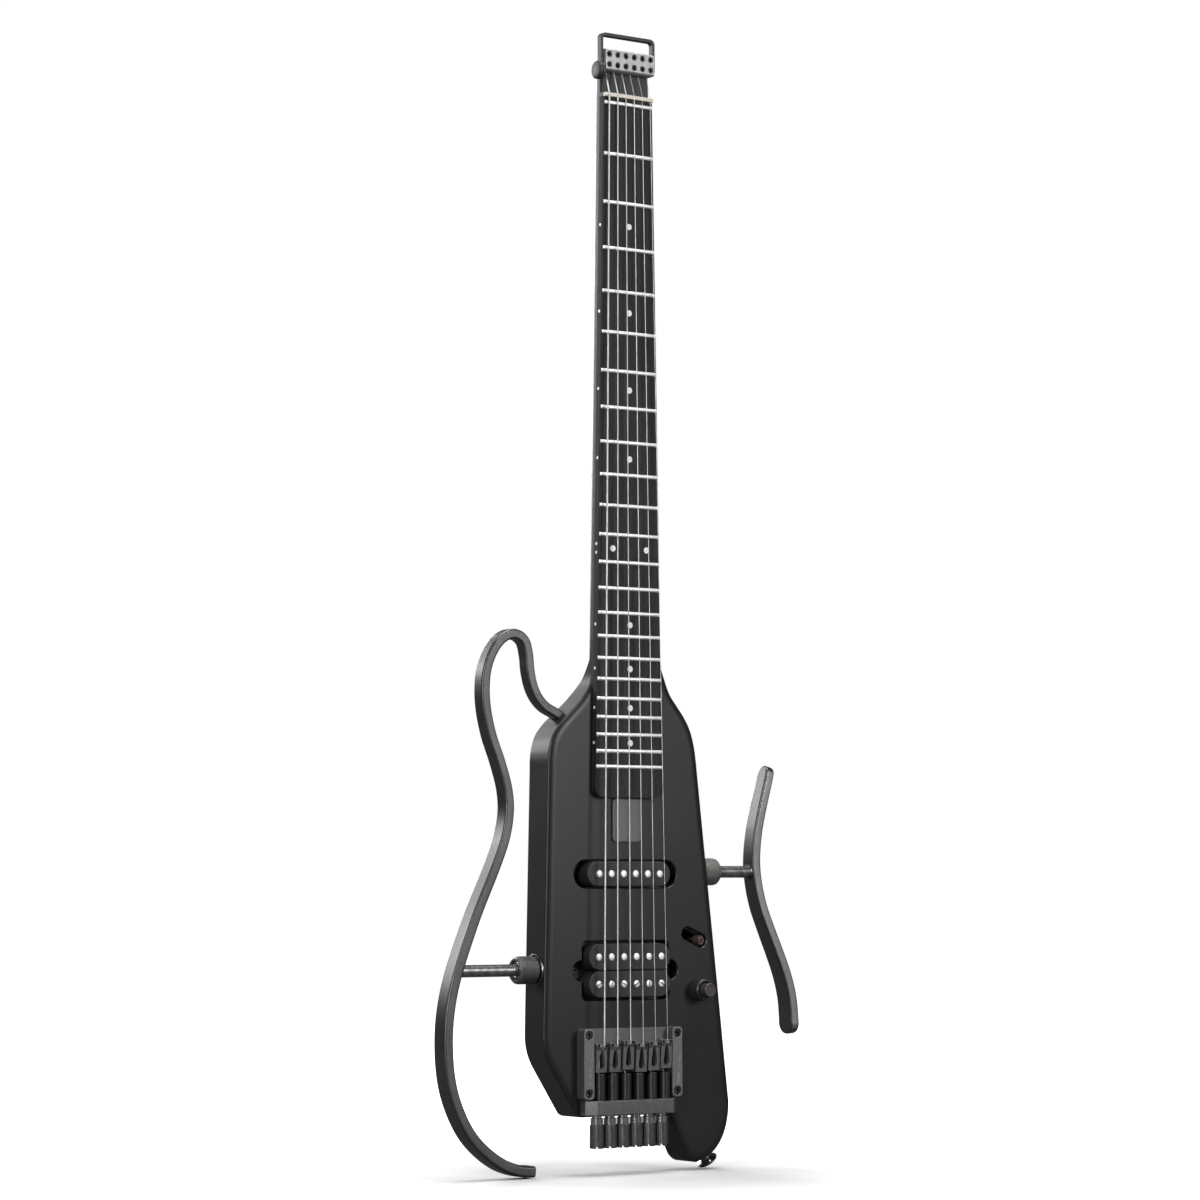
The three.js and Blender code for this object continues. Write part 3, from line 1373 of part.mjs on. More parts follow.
addTo(onBody, 'lower_strap_button', solid(atLowButton(strapButton(), seatGap)), gunmetal);
addTo(onBody, 'waist_frame', waistFrame(), gunmetal);
addTo(onBody, 'waist_rod', frameRod(-1, bassWallAtRod, waistAtRod, bassRodDown), gunmetal);
addTo(onBody, 'waist_collar', collar(-1, bassWallAtRod, bassRodDown), darkMetal);
addTo(onBody, 'waist_bushing', bushing(-1, bassWallAtRod, bassRodDown), darkMetal);
addTo(onBody, 'leg_rest', legRest(), gunmetal);
addTo(onBody, 'leg_rest_rod', frameRod(1, trebleWallAtRod, restAtRod, trebleRodDown), gunmetal);
addTo(onBody, 'leg_rest_collar', collar(1, trebleWallAtRod, trebleRodDown), darkMetal);
addTo(onBody, 'leg_rest_bushing', bushing(1, trebleWallAtRod, trebleRodDown), darkMetal);

// The selector lies along its slot, its lever at the lower end of its swing
const selector = new THREE.Group();
selector.position.set(slotAcross, bodyFace + leverPivotDeep, -slotDown);
selector.rotation.y = slotTurn;
onBody.add(selector);
addTo(selector, 'selector_switch', selectorSwitch(), darkMetal);
addTo(selector, 'selector_lever', selectorLever(), knobBrown).rotation.z = leverSwing * degrees;

guitar.position.set(0, -(loopFront + loopDepth / 2), -(loopTop - loopTopThick));

export default guitar;
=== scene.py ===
from math import cos, hypot, pi, radians, sin, sqrt

import bmesh
import bpy
from mathutils import Matrix, Vector


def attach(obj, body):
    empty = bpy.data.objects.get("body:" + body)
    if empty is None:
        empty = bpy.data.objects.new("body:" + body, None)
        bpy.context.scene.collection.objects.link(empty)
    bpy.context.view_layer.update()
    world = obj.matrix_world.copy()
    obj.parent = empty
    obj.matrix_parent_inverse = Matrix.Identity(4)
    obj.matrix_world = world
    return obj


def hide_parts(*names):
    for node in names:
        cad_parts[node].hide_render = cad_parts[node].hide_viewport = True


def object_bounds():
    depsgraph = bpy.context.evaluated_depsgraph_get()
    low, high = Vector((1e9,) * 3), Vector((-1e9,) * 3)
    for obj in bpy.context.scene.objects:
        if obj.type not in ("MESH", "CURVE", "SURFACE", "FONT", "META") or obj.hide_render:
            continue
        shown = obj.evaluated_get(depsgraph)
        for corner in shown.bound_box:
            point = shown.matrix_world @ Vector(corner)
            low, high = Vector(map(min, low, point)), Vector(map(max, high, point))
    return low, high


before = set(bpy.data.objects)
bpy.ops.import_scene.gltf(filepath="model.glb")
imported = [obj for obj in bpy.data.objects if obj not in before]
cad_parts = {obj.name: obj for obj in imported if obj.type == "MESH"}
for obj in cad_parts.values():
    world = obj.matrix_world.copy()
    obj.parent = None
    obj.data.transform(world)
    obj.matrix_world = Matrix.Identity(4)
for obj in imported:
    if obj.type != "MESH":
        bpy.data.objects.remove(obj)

cadBox = [list(corner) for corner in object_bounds()]

mm = 0.001
shift = Vector((0, -4.1, -47.2))  # from the zero fret's crown to the hanging loop, mm
gap = 0.3  # running gap between neighbours, mm
thin = 0.0005  # radius of a turned piece's closed middle, mm

# Lengths that several pieces share, mm. X runs to the treble side, Y back, Z up the neck.
guitar = {
    "scale": 648, "face": 7.1, "back": 33.5, "boardTop": 4, "boardEnd": 487.4,
    "halfAtZero": 20.9, "halfAtEnd": 29, "camber": 350, "fretRise": 1.1, "strings": 6,
}
face = guitar["face"]
barMid = (guitar["face"] + guitar["back"]) / 2
strings = range(guitar["strings"])


def metres(x, y, z):
    return (Vector((x, y, z)) + shift) * mm


def spread(index, pitch):
    return (index - (guitar["strings"] - 1) / 2) * pitch


def camber(x, radius=guitar["camber"]):
    return radius - sqrt(radius * radius - x * x)


def boardHalf(down):
    return guitar["halfAtZero"] + (guitar["halfAtEnd"] - guitar["halfAtZero"]) * down / guitar["boardEnd"]


def fretDown(n):
    return guitar["scale"] * (1 - 2 ** (-n / 12))


# Shader maths: a wrapped socket, and a finish that makes the nodes


class Shade:
    def __init__(self, finish, socket):
        self.finish = finish
        self.socket = socket

    def maths(self, operation, first, second):
        return self.finish.node("ShaderNodeMath", {"operation": operation}, {0: first, 1: second})

    def __add__(self, other):
        return self.maths("ADD", self, other)

    def __sub__(self, other):
        return self.maths("SUBTRACT", self, other)

    def __rsub__(self, other):
        return self.maths("SUBTRACT", other, self)

    def __mul__(self, other):
        return self.maths("MULTIPLY", self, other)

    __radd__ = __add__
    __rmul__ = __mul__


class Finish:
    inputs = {"colour": "Base Color", "rough": "Roughness", "metal": "Metallic", "gloss": "Specular IOR Level"}

    def __init__(self, name):
        self.material = bpy.data.materials.new(name)
        self.material.use_nodes = True
        self.tree = self.material.node_tree
        self.shader = self.tree.nodes["Principled BSDF"]
        self.place = self.node("ShaderNodeTexCoord", out="Object")

    def node(self, kind, settings=None, sockets=None, out=0):
        made = self.tree.nodes.new(kind)
        for key, value in (settings or {}).items():
            setattr(made, key, value)
        for key, value in (sockets or {}).items():
            self.feed(made.inputs[key], value)
        return Shade(self, made.outputs[out])

    def feed(self, target, value):
        if isinstance(value, Shade):
            self.tree.links.new(value.socket, target)
        elif target.type == "RGBA" and len(value) == 3:
            target.default_value = (*value, 1)
        else:
            target.default_value = value

    def axes(self, vector):
        split = self.node("ShaderNodeSeparateXYZ", None, {0: vector}).socket.node
        return [Shade(self, part) for part in split.outputs]

    def noise(self, scale, detail=3, stretch=(1, 1, 1), rough=0.5):
        spot = self.node("ShaderNodeVectorMath", {"operation": "MULTIPLY"}, {0: self.place, 1: stretch})
        return self.node("ShaderNodeTexNoise", None, {
            "Vector": spot, "Scale": scale, "Detail": detail, "Roughness": rough}, "Fac")

    def clamped(self, value, low, high, toLow=0.0, toHigh=1.0):
        return self.node("ShaderNodeMapRange", {"clamp": True}, {
            "Value": value, "From Min": low, "From Max": high, "To Min": toLow, "To Max": toHigh})

    def mixed(self, share, first, second):
        return self.node("ShaderNodeMix", {"data_type": "RGBA"}, {0: share, 6: first, 7: second}, 2)

    # Lighter on sharp edges, in patches: partly edge wear, partly a painted highlight where light catches the edges
    def edgeWearAndSheen(self, scale=300, detail=4, low=0.4, high=0.6):
        edge = self.node("ShaderNodeNewGeometry", out="Pointiness")
        return self.clamped(edge, 0.52, 0.6) * self.clamped(self.noise(scale, detail), low, high)

    def bumped(self, height, strength, distance):
        bump = self.node("ShaderNodeBump", None, {
            "Height": height, "Strength": strength, "Distance": distance}, "Normal")
        self.feed(self.shader.inputs["Normal"], bump)

    def sets(self, **sockets):
        for key, value in sockets.items():
            self.feed(self.shader.inputs[self.inputs[key]], value)
        return self.material


def grey(level, warm=0.0):
    return (level * (1 + warm), level, level * (1 - warm))


def paintFinish(name, level, rough, edgeWearAndSheen):
    paint = Finish(name)
    cloud, speck = paint.noise(18, 4), paint.noise(2600, 2)
    base = paint.mixed(cloud, grey(level * 0.9, -0.06), grey(level * 1.12, -0.06))
    paint.bumped(speck, 0.1, 0.00006)
    # The edges are painted lighter: partly wear, partly painted highlight
    return paint.sets(colour=paint.mixed(paint.edgeWearAndSheen(240, 5, 0.42, 0.62) * edgeWearAndSheen, base, grey(level * 2.4)), gloss=0.42,
                      rough=paint.clamped(cloud * 0.6 + speck * 0.4, 0.3, 0.7, rough - 0.04, rough + 0.05))


def anodisedFinish(name, level, rough, metal=0.85, warm=0.0, sparkle=0.25):
    made = Finish(name)
    grain, cloud = made.noise(3200, 2), made.noise(30, 4)
    base = made.mixed(cloud, grey(level * 0.94, warm), grey(level * 1.06, warm))
    glint = made.mixed(made.clamped(grain, 0.56, 0.74) * sparkle, base, grey(min(1, level * 2.2), warm))
    made.bumped(grain, 0.12, 0.00005)
    # Edges painted paler in patches: partly wear, partly painted highlight
    return made.sets(colour=made.mixed(made.edgeWearAndSheen() * 0.5, glint, grey(min(1, level * 2.4), warm)), metal=metal,
                     rough=made.clamped(cloud * 0.3 + grain * 0.7, 0.3, 0.7, rough - 0.04, rough + 0.05))


# The bent bars: sides painted darker and the front painted paler, as shade and light fall on them, with brushed grain
# on the front
def barFinish(name, dull, pale):
    made = Finish(name)
    facing = made.axes(made.node("ShaderNodeTexCoord", out="Normal"))[1]
    # Painted light: faces turned to the front take the paler brushed colour and the sides the darker one; the edges are
    # lightened too, partly wear and partly painted highlight
    front = made.clamped(facing * -1, 0.8, 0.96)
    grain, cloud = made.noise(2600, 2), made.noise(30, 4)
    side = made.mixed(cloud, grey(0.07), grey(0.088))
    brushedPaintedLit = made.mixed(made.clamped(grain * 0.7 + cloud * 0.3, 0.38, 0.62), grey(dull), grey(pale))
    made.bumped(grain, 0.12, 0.00005)
    return made.sets(colour=made.mixed(made.edgeWearAndSheen() * 0.4, made.mixed(front, side, brushedPaintedLit), grey(0.3)), metal=0.85,
                     rough=made.clamped(grain * 0.4 + front * 0.6, 0.2, 0.8, 0.34, 0.48))


# Diamond knurling round an axis along X, down mm from the zero fret, with painted shade in its grooves and painted
# light on its ridges
def knurlFinish(name, level, down, warm=0.0):
    made = Finish(name)
    middle = metres(0, barMid, -down)
    x, y, z = made.axes(made.place)
    turn = made.node("ShaderNodeMath", {"operation": "ARCTAN2"}, {0: y - middle.y, 1: z - middle.z})
    cuts = [made.node("ShaderNodeMath", {"operation": "SINE"}, {0: turn * 42 + x * 4200 * way}) for way in (1, -1)]
    peak = made.clamped(cuts[0] * cuts[1], -0.6, 0.8)
    grain = made.noise(2600, 2)
    # Painted shade and light: the grooves are painted dark and the ridges pale
    tone = made.mixed(peak, grey(level * 0.35, warm), grey(level * 1.5, warm))
    spark = made.clamped(grain, 0.5, 0.72) * 0.4
    made.bumped(peak, 0.6, 0.0003)
    return made.sets(colour=made.mixed(spark, tone, grey(min(1, level * 2.6), warm)), metal=0.8,
                     rough=made.clamped(grain, 0.3, 0.7, 0.34, 0.48))


def platedFinish(name, level, rough, warm=0.0, lines=0.0, metal=1.0):
    made = Finish(name)
    cloud, scratch = made.noise(60, 3), made.noise(900, 3, (6, 6, 0.12))
    if lines:
        made.bumped(scratch, lines, 0.00004)
    return made.sets(colour=made.mixed(cloud, grey(level * 0.92, warm), grey(min(1, level * 1.06), warm)), metal=metal,
                     rough=made.clamped(scratch * 0.7 + cloud * 0.3, 0.3, 0.7, rough * 0.8, rough * 1.3))


def windingFinish():
    wound = Finish("woundSteel")
    turns = wound.node("ShaderNodeTexWave", {"bands_direction": "Z"}, {
        "Vector": wound.place, "Scale": 560, "Distortion": 0.0, "Detail": 0})
    wound.bumped(turns, 0.5, 0.0001)
    # Painted light and shade: the windings' crowns are painted pale and the grooves between them dark
    return wound.sets(colour=wound.mixed(turns, grey(0.4), grey(1)), metal=0.75,
                      rough=wound.clamped(turns, 0, 1, 0.46, 0.34))


def boardFinish():
    board = Finish("denseBoardWood")
    streak = board.noise(150, 6, (1, 1, 0.04), 0.6)
    pore = board.noise(900, 4, (1, 1, 0.06), 0.55)
    pits = board.clamped(pore, 0.5, 0.66)
    tone = board.mixed(board.clamped(streak, 0.36, 0.64), (0.005, 0.005, 0.0055), (0.026, 0.0255, 0.025))
    board.bumped(1 - pits, 0.2, 0.00008)
    return board.sets(colour=board.mixed(pits * 0.55, tone, grey(0.005)), gloss=0.3,
                      rough=board.clamped(streak * 0.5 + pore * 0.5, 0.3, 0.7, 0.5, 0.66))


def boneFinish():
    bone = Finish("creamBone")
    fleck = bone.noise(420, 4, (1, 1, 3))
    bone.bumped(fleck, 0.1, 0.00005)
    return bone.sets(colour=bone.mixed(fleck, (0.56, 0.53, 0.43), (0.7, 0.67, 0.57)),
                     rough=bone.clamped(fleck, 0.3, 0.7, 0.32, 0.46))


def dotFinish():
    pearl = Finish("whiteDots")
    cloud = pearl.noise(700, 3)
    return pearl.sets(colour=pearl.mixed(cloud, (0.72, 0.72, 0.7), (0.9, 0.9, 0.88)),
                      rough=pearl.clamped(cloud, 0.3, 0.7, 0.22, 0.36))


def coilFinish():
    coil = Finish("pebbledCoil")
    pebble = coil.node("ShaderNodeTexVoronoi", {"feature": "F1"}, {"Vector": coil.place, "Scale": 1500}, "Distance")
    cloud = coil.noise(90, 3)
    top = coil.clamped(pebble, 0.1, 0.6)
    coil.bumped(1 - top, 0.35, 0.00012)
    # Painted light and shade: pebble tops are painted paler and the crevices between them darker
    return coil.sets(colour=coil.mixed(top, grey(0.034), grey(0.014)), gloss=0.45,
                     rough=coil.clamped(cloud + top * 0.3, 0.3, 0.9, 0.4, 0.58))


def mouldedFinish(name, colour, rough):
    made = Finish(name)
    fine, cloud = made.noise(1800, 3), made.noise(70, 3)
    dull, pale = ([share * level for level in colour] for share in (0.88, 1.2))
    made.bumped(fine, 0.12, 0.00005)
    return made.sets(colour=made.mixed(cloud, dull, pale), gloss=0.5,
                     rough=made.clamped(fine * 0.5 + cloud * 0.5, 0.3, 0.7, rough - 0.05, rough + 0.06))


# The record's slots, each with the finishes of its pieces
slots = {
    "painted_wood": {
        "paint": paintFinish("satinBlackPaint", 0.011, 0.36, 0.16),
        # The neck's copy of the body's black paint, painted about twice as light to stand in for the light on the
        # neck's side
        "neckPaintPaintedLight": paintFinish("satinNeckPaintPaintedLight", 0.024, 0.4, 0.1),
    },
    "board_wood": {"board": boardFinish(), "dot": dotFinish()},
    "nut_bone": {"bone": boneFinish()},
    "string_steel": {
        "fret": platedFinish("brightFrets", 1, 0.46, metal=0.9),
        "plain": platedFinish("plainSteel", 0.8, 0.38, metal=0.8),
        "wound": windingFinish(),
    },
    "clamp_metal": {"clamp": anodisedFinish("paleClamp", 0.32, 0.42, 0.7, sparkle=0.5)},
    "bridge_metal": {
        "bridge": anodisedFinish("greyBridge", 0.13, 0.42, 0.8),
        "rail": anodisedFinish("greyRails", 0.16, 0.44, 0.75),
        "saddle": anodisedFinish("greySaddles", 0.17, 0.38, 0.8),
    },
    "dark_metal": {
        "dark": anodisedFinish("blackPlate", 0.035, 0.34, 0.7),
        "screw": anodisedFinish("blackScrews", 0.035, 0.32, 0.8),
        "clampScrew": anodisedFinish("clampScrews", 0.08, 0.34, 0.7),
        "carriage": anodisedFinish("darkCarriages", 0.05, 0.36, 0.8),
        "tuner": anodisedFinish("darkTuners", 0.1, 0.38, 0.8, 0.02),
        "neckPin": platedFinish("brightPins", 0.5, 0.18, 0.0, 0.2),
        "bushing": platedFinish("bushingSteel", 0.17, 0.28),
        "waistCollar": knurlFinish("waistCollarSteel", 0.12, 606),
        "restCollar": knurlFinish("restCollarSteel", 0.2, 538.7, 0.04),
    },
    "frame_metal": {
        "waistBar": barFinish("darkWaistBar", 0.07, 0.16),
        "restBar": barFinish("brushedRestBar", 0.17, 0.36),
        "rod": anodisedFinish("rodSteel", 0.17, 0.34, 0.9, sparkle=0.0),
        "loop": anodisedFinish("darkLoop", 0.045, 0.42, 0.7, sparkle=0.5),
        "loopButton": anodisedFinish("loopButtonMetal", 0.045, 0.42, 0.7),
        "button": platedFinish("blackNickel", 0.4, 0.2),
    },
    "coil_plastic": {"coil": coilFinish(), "pole": platedFinish("brightPoles", 1, 0.4, metal=0.8)},
    "plaque_metal": {"plaque": anodisedFinish("greyPlaque", 0.12, 0.48, 0.6)},
    "knob_plastic": {
        "knob": mouldedFinish("darkKnob", (0.022, 0.021, 0.021), 0.36),
        "stem": mouldedFinish("brownStem", (0.05, 0.04, 0.038), 0.4),
        "cap": mouldedFinish("brownCap", (0.05, 0.03, 0.03), 0.34),
        # A pale pink painted highlight for the lever cap's rim
        "capPaintedHighlight": mouldedFinish("pinkPaintedHighlight", (0.24, 0.13, 0.13), 0.4),
    },
    "cover_plastic": {"cover": mouldedFinish("blackCover", grey(0.024), 0.5)},
}
finishes = {name: (made, slotName) for slotName, group in slots.items() for name, made in group.items()}
print("finishes:", len(finishes))

# Mesh making, in the layout's millimetres


def linked(data):
    made = bpy.data.objects.new(data.name, data)
    bpy.context.scene.collection.objects.link(made)
    return made


def skinOf(corners, faces):
    mesh = bpy.data.meshes.new("part")
    mesh.from_pydata([metres(*c) for c in corners], [], faces)
    skin = bmesh.new()
    skin.from_mesh(mesh)
    bmesh.ops.remove_doubles(skin, verts=skin.verts, dist=1e-7)
    bmesh.ops.recalc_face_normals(skin, faces=skin.faces)
    skin.to_mesh(mesh)
    skin.free()
    return linked(mesh)


def loft(rings, ends=True):
    count = len(rings[0])
    faces = []
    for r in range(len(rings) - 1):
        for i in range(count):
            a, b = r * count + i, r * count + (i + 1) % count
            faces.append((a, b, b + count, a + count))
    if ends:
        faces.append(tuple(reversed(range(count))))
        faces.append(tuple(range((len(rings) - 1) * count, len(rings) * count)))
    return skinOf([c for ring in rings for c in ring], faces)


def circle(radius, count):
    turns = [2 * pi * i / count for i in range(count)]
    return [(radius * cos(t), radius * sin(t)) for t in turns]


def arc(start, end, steps):
    return [start + (end - start) * i / steps for i in range(steps + 1)]


def bend(x, z, radius, start, end, steps):
    return [(x + radius * cos(t), z + radius * sin(t)) for t in arc(start, end, steps)]


# Outline with rounded corners: x0, x1 across, z0, z1 up
def rounded(x0, x1, z0, z1, r, steps=6):
    corners = ((x1 - r, z0 + r, -pi / 2), (x1 - r, z1 - r, 0), (x0 + r, z1 - r, pi / 2), (x0 + r, z0 + r, pi))
    return [point for x, z, first in corners for point in bend(x, z, r, first, first + pi / 2, steps)]


def stadium(half, tall, z, steps=12):
    return rounded(-half, half, z - tall / 2, z + tall / 2, tall / 2 - 0.001, steps)


# Bar of a screw's slot: a thin oblong turned about its middle
def turnedBar(x, z, turn, half, thick):
    corners = ((-half, -thick), (half, -thick), (half, thick), (-half, thick))
    return [(x + a * cos(turn) - b * sin(turn), z + a * sin(turn) + b * cos(turn)) for a, b in corners]


# A smooth path through points
def through(points, perSpan):
    stops = [Vector(p) for p in points]
    stops = [2 * stops[0] - stops[1], *stops, 2 * stops[-1] - stops[-2]]
    path = []
    for a, b, c, d in zip(stops, stops[1:], stops[2:], stops[3:]):
        t1 = sqrt((b - a).length)
        t2 = t1 + sqrt((c - b).length)
        t3 = t2 + sqrt((d - c).length)
        for k in range(perSpan):
            t = t1 + (t2 - t1) * k / perSpan
            ab = a + (b - a) * (t / t1)
            bc = b + (c - b) * ((t - t1) / (t2 - t1))
            cd = c + (d - c) * ((t - t2) / (t3 - t2))
            abc = ab + (bc - ab) * (t / t2)
            bcd = bc + (cd - bc) * ((t - t1) / (t3 - t1))
            path.append(abc + (bcd - abc) * ((t - t1) / (t2 - t1)))
    path.append(stops[-2])
    return path


def quadratic(a, b, c, steps):
    return [tuple((1 - t) ** 2 * p + 2 * t * (1 - t) * q + t * t * r for p, q, r in zip(a, b, c))
            for t in arc(0, 1, steps)]


def cubic(a, b, c, d, steps):
    return [tuple((1 - t) ** 3 * p + 3 * t * (1 - t) ** 2 * q + 3 * t * t * (1 - t) * r + t ** 3 * s
                  for p, q, r, s in zip(a, b, c, d)) for t in arc(0, 1, steps)]


# Flat piece from its outline: plan "front" lies in X and Z, "end" in X and Y, "side" in Y and Z
def slab(outline, low, high, edge=0.0, plan="front", steps=3):
    curve = bpy.data.curves.new("outline", "CURVE")
    curve.dimensions = "2D"
    curve.fill_mode = "BOTH"
    curve.extrude = (high - low) / 2 - edge
    curve.bevel_depth = edge
    curve.bevel_resolution = steps
    curve.offset = -edge
    spline = curve.splines.new("POLY")
    spline.points.add(len(outline) - 1)
    for point, (a, b) in zip(spline.points, outline):
        point.co = (a, b, 0, 1)
    spline.use_cyclic_u = True
    holder = linked(curve)
    bpy.context.view_layer.update()
    flat = bpy.data.meshes.new_from_object(holder.evaluated_get(bpy.context.evaluated_depsgraph_get()))
    corners = [v.co.copy() for v in flat.vertices]
    faces = [tuple(p.vertices) for p in flat.polygons]
    bpy.data.objects.remove(holder)
    bpy.data.curves.remove(curve)
    bpy.data.meshes.remove(flat)
    mid = (low + high) / 2
    turn = {"front": lambda u, v, w: (u, mid - w, v), "end": lambda u, v, w: (u, v, mid + w),
            "side": lambda u, v, w: (mid + w, u, v)}[plan]
    return skinOf([turn(*c) for c in corners], faces)


# A point beside an axis: a and b across it, along on it
def beside(axis, centre, a, b, along):
    x, y, z = centre
    return {"x": (x + along, y + a, z + b), "y": (x + b, y + along, z + a), "z": (x + a, y + b, z + along)}[axis]


# Turned piece from (radius, along) pairs
def turned(profile, axis, centre, sides=40):
    return loft([[beside(axis, centre, a, b, along) for a, b in circle(max(radius, thin), sides)]
                 for radius, along in profile])


def bore(radius, low, high, axis, centre, sides=40):
    return turned([(radius, low), (radius, high)], axis, centre, sides)


# Turned piece from (radius, along, share) triples, where share says how deep the ridges are cut there
def knurled(profile, axis, centre, ridges, depth):
    rings = []
    for radius, along, share in profile:
        ring = []
        for i in range(4 * ridges):
            t = 2 * pi * i / (4 * ridges)
            r = radius - depth * share * (0, 0.35, 1, 0.35)[i % 4]
            ring.append(beside(axis, centre, r * cos(t), r * sin(t), along))
        rings.append(ring)
    return loft(rings)


def modified(made, kind, **settings):
    change = made.modifiers.new(kind, kind)
    for key, value in settings.items():
        setattr(change, key, value)
    bpy.context.view_layer.update()
    done = bpy.data.meshes.new_from_object(made.evaluated_get(bpy.context.evaluated_depsgraph_get()))
    made.modifiers.clear()
    made.data = done
    return made


def combined(made, others, operation="DIFFERENCE"):
    for other in others:
        modified(made, "BOOLEAN", object=other, operation=operation, solver="EXACT")
        bpy.data.objects.remove(other)
    return made


def bevelled(made, width, segments=2, angle=35):
    return modified(made, "BEVEL", width=width * mm, segments=segments, limit_method="ANGLE",
                    angle_limit=radians(angle), use_clamp_overlap=True, harden_normals=False)


def together(parts):
    skin = bmesh.new()
    for part in parts:
        skin.from_mesh(part.data)
        bpy.data.objects.remove(part)
    mesh = bpy.data.meshes.new("parts")
    skin.to_mesh(mesh)
    skin.free()
    return linked(mesh)


made = []


# Gives a finished piece its name, finish, shading and body, and hides the layout's nodes that it replaces
def piece(thing, name, finish, *nodes, body="guitar", slot=None, sharp=32):
    material, slotName = finishes[finish]
    thing.name = name
    thing.data.name = name
    thing.data.materials.clear()
    thing.data.materials.append(material)
    thing.data.polygons.foreach_set("use_smooth", [True] * len(thing.data.polygons))
    thing.data.set_sharp_from_angle(angle=radians(sharp))
    modified(thing, "WEIGHTED_NORMAL", keep_sharp=True, weight=60)
    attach(thing, body)
    if nodes:
        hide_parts(*nodes)
    made.append(name)


# Camera, floor and lamps

view = {"lens": 110.09, "yaw": 34.87, "pitch": 4.47, "roll": -0.105, "at": (-1.4756, -2.0840, -0.5964)}
camera = linked(bpy.data.cameras.new("camera"))
camera.data.lens = view["lens"]
camera.data.sensor_width = 36
camera.data.sensor_fit = "AUTO"
camera.data.clip_end = 60
camera.matrix_world = (
    Matrix.Translation(view["at"])
    @ Matrix.Rotation(-radians(view["yaw"]), 4, "Z")
    @ Matrix.Rotation(pi / 2 + radians(view["pitch"]), 4, "X")
    @ Matrix.Rotation(radians(view["roll"]), 4, "Z")
)
bpy.context.scene.camera = camera
bpy.context.scene.view_settings.view_transform = "Standard"

studio = {"floorWide": 14, "floorWhite": 0.62, "floorBounce": 0.1, "near": 0.1, "far": 0.5, "ambient": 0.035}


# Pale floor: it glows for the camera further from the guitar and keeps the shadow near it; the glow fading out near the
# guitar also paints shade on the floor round it
def studioFloor():
    low = cadBox[0][2]
    half = studio["floorWide"] / 2
    mesh = bpy.data.meshes.new("floor")
    corners = [(-half, -half, low), (half, -half, low), (half, half, low), (-half, half, low)]
    mesh.from_pydata(corners, [], [(0, 1, 2, 3)])
    paper = Finish("paleFloor")
    path = paper.node("ShaderNodeLightPath", out="Is Camera Ray")
    away = paper.node("ShaderNodeVectorMath", {"operation": "DISTANCE"}, {0: paper.place, 1: (0, 0, low)}, "Value")
    # Painted shade: the camera's glow fades to nothing from far to near of the guitar's foot
    glowFadingToPaintedShade = paper.mixed(paper.clamped(away, studio["near"], studio["far"]), grey(0), grey(1))
    paper.feed(paper.shader.inputs["Emission Color"], paper.mixed(path, grey(0), glowFadingToPaintedShade))
    paper.shader.inputs["Emission Strength"].default_value = 1
    tone = paper.mixed(path, grey(studio["floorBounce"]), grey(studio["floorWhite"]))
    mesh.materials.append(paper.sets(colour=tone, rough=0.9, gloss=0.1))
    linked(mesh)


def studioWorld():
    world = bpy.data.worlds.new("studio")
    world.use_nodes = True
    bpy.context.scene.world = world
    tree = world.node_tree
    back = tree.nodes["Background"]
    path = tree.nodes.new("ShaderNodeLightPath")
    level = tree.nodes.new("ShaderNodeMapRange")
    level.inputs["To Min"].default_value = studio["ambient"]
    level.inputs["To Max"].default_value = 1
    tree.links.new(path.outputs["Is Camera Ray"], level.inputs["Value"])
    tree.links.new(level.outputs[0], back.inputs["Strength"])
    back.inputs["Color"].default_value = (1, 1, 1, 1)


# Each lamp: where it is, what it looks at, its width and height, and its strength
lamps = {
    "topLamp": ((0.05, -0.1, 1.5), (0, 0, -0.4), 1.6, 1.6, 60),
    "frontLamp": ((0.9, -2.35, 0.25), (0, 0, -0.35), 0.7, 0.7, 20),
    "bodyLamp": ((0.36, -0.8, -0.4), (0, 0, -0.5), 0.25, 0.45, 1.2),
    "edgeLamp": ((-2.1, -1.5, 0.15), (0, 0, -0.4), 0.5, 1.6, 36),
    "backLamp": ((-1.5, 2.1, 1.1), (0, 0, -0.2), 1.6, 1.4, 26),
    "wallLamp": ((-1.5, 2.1, 0.3), (0, 0, -0.3), 0.8, 0.5, 13),
    "rearLamp": ((0.35, 2.6, 0.35), (0, 0, -0.3), 1.0, 0.8, 34),
}


def lampAt(name, at, aim, wide, tall, power):
    light = bpy.data.lights.new(name, "AREA")
    light.shape = "RECTANGLE"
    light.size = wide
    light.size_y = tall
    light.energy = power
    towards = (Vector(aim) - Vector(at)).to_track_quat("-Z", "Y").to_matrix().to_4x4()
    linked(light).matrix_world = Matrix.Translation(at) @ towards


studioFloor()
studioWorld()
for lampName, facts in lamps.items():
    lampAt(lampName, *facts)
print("studio ready")

# The wooden body and what it holds

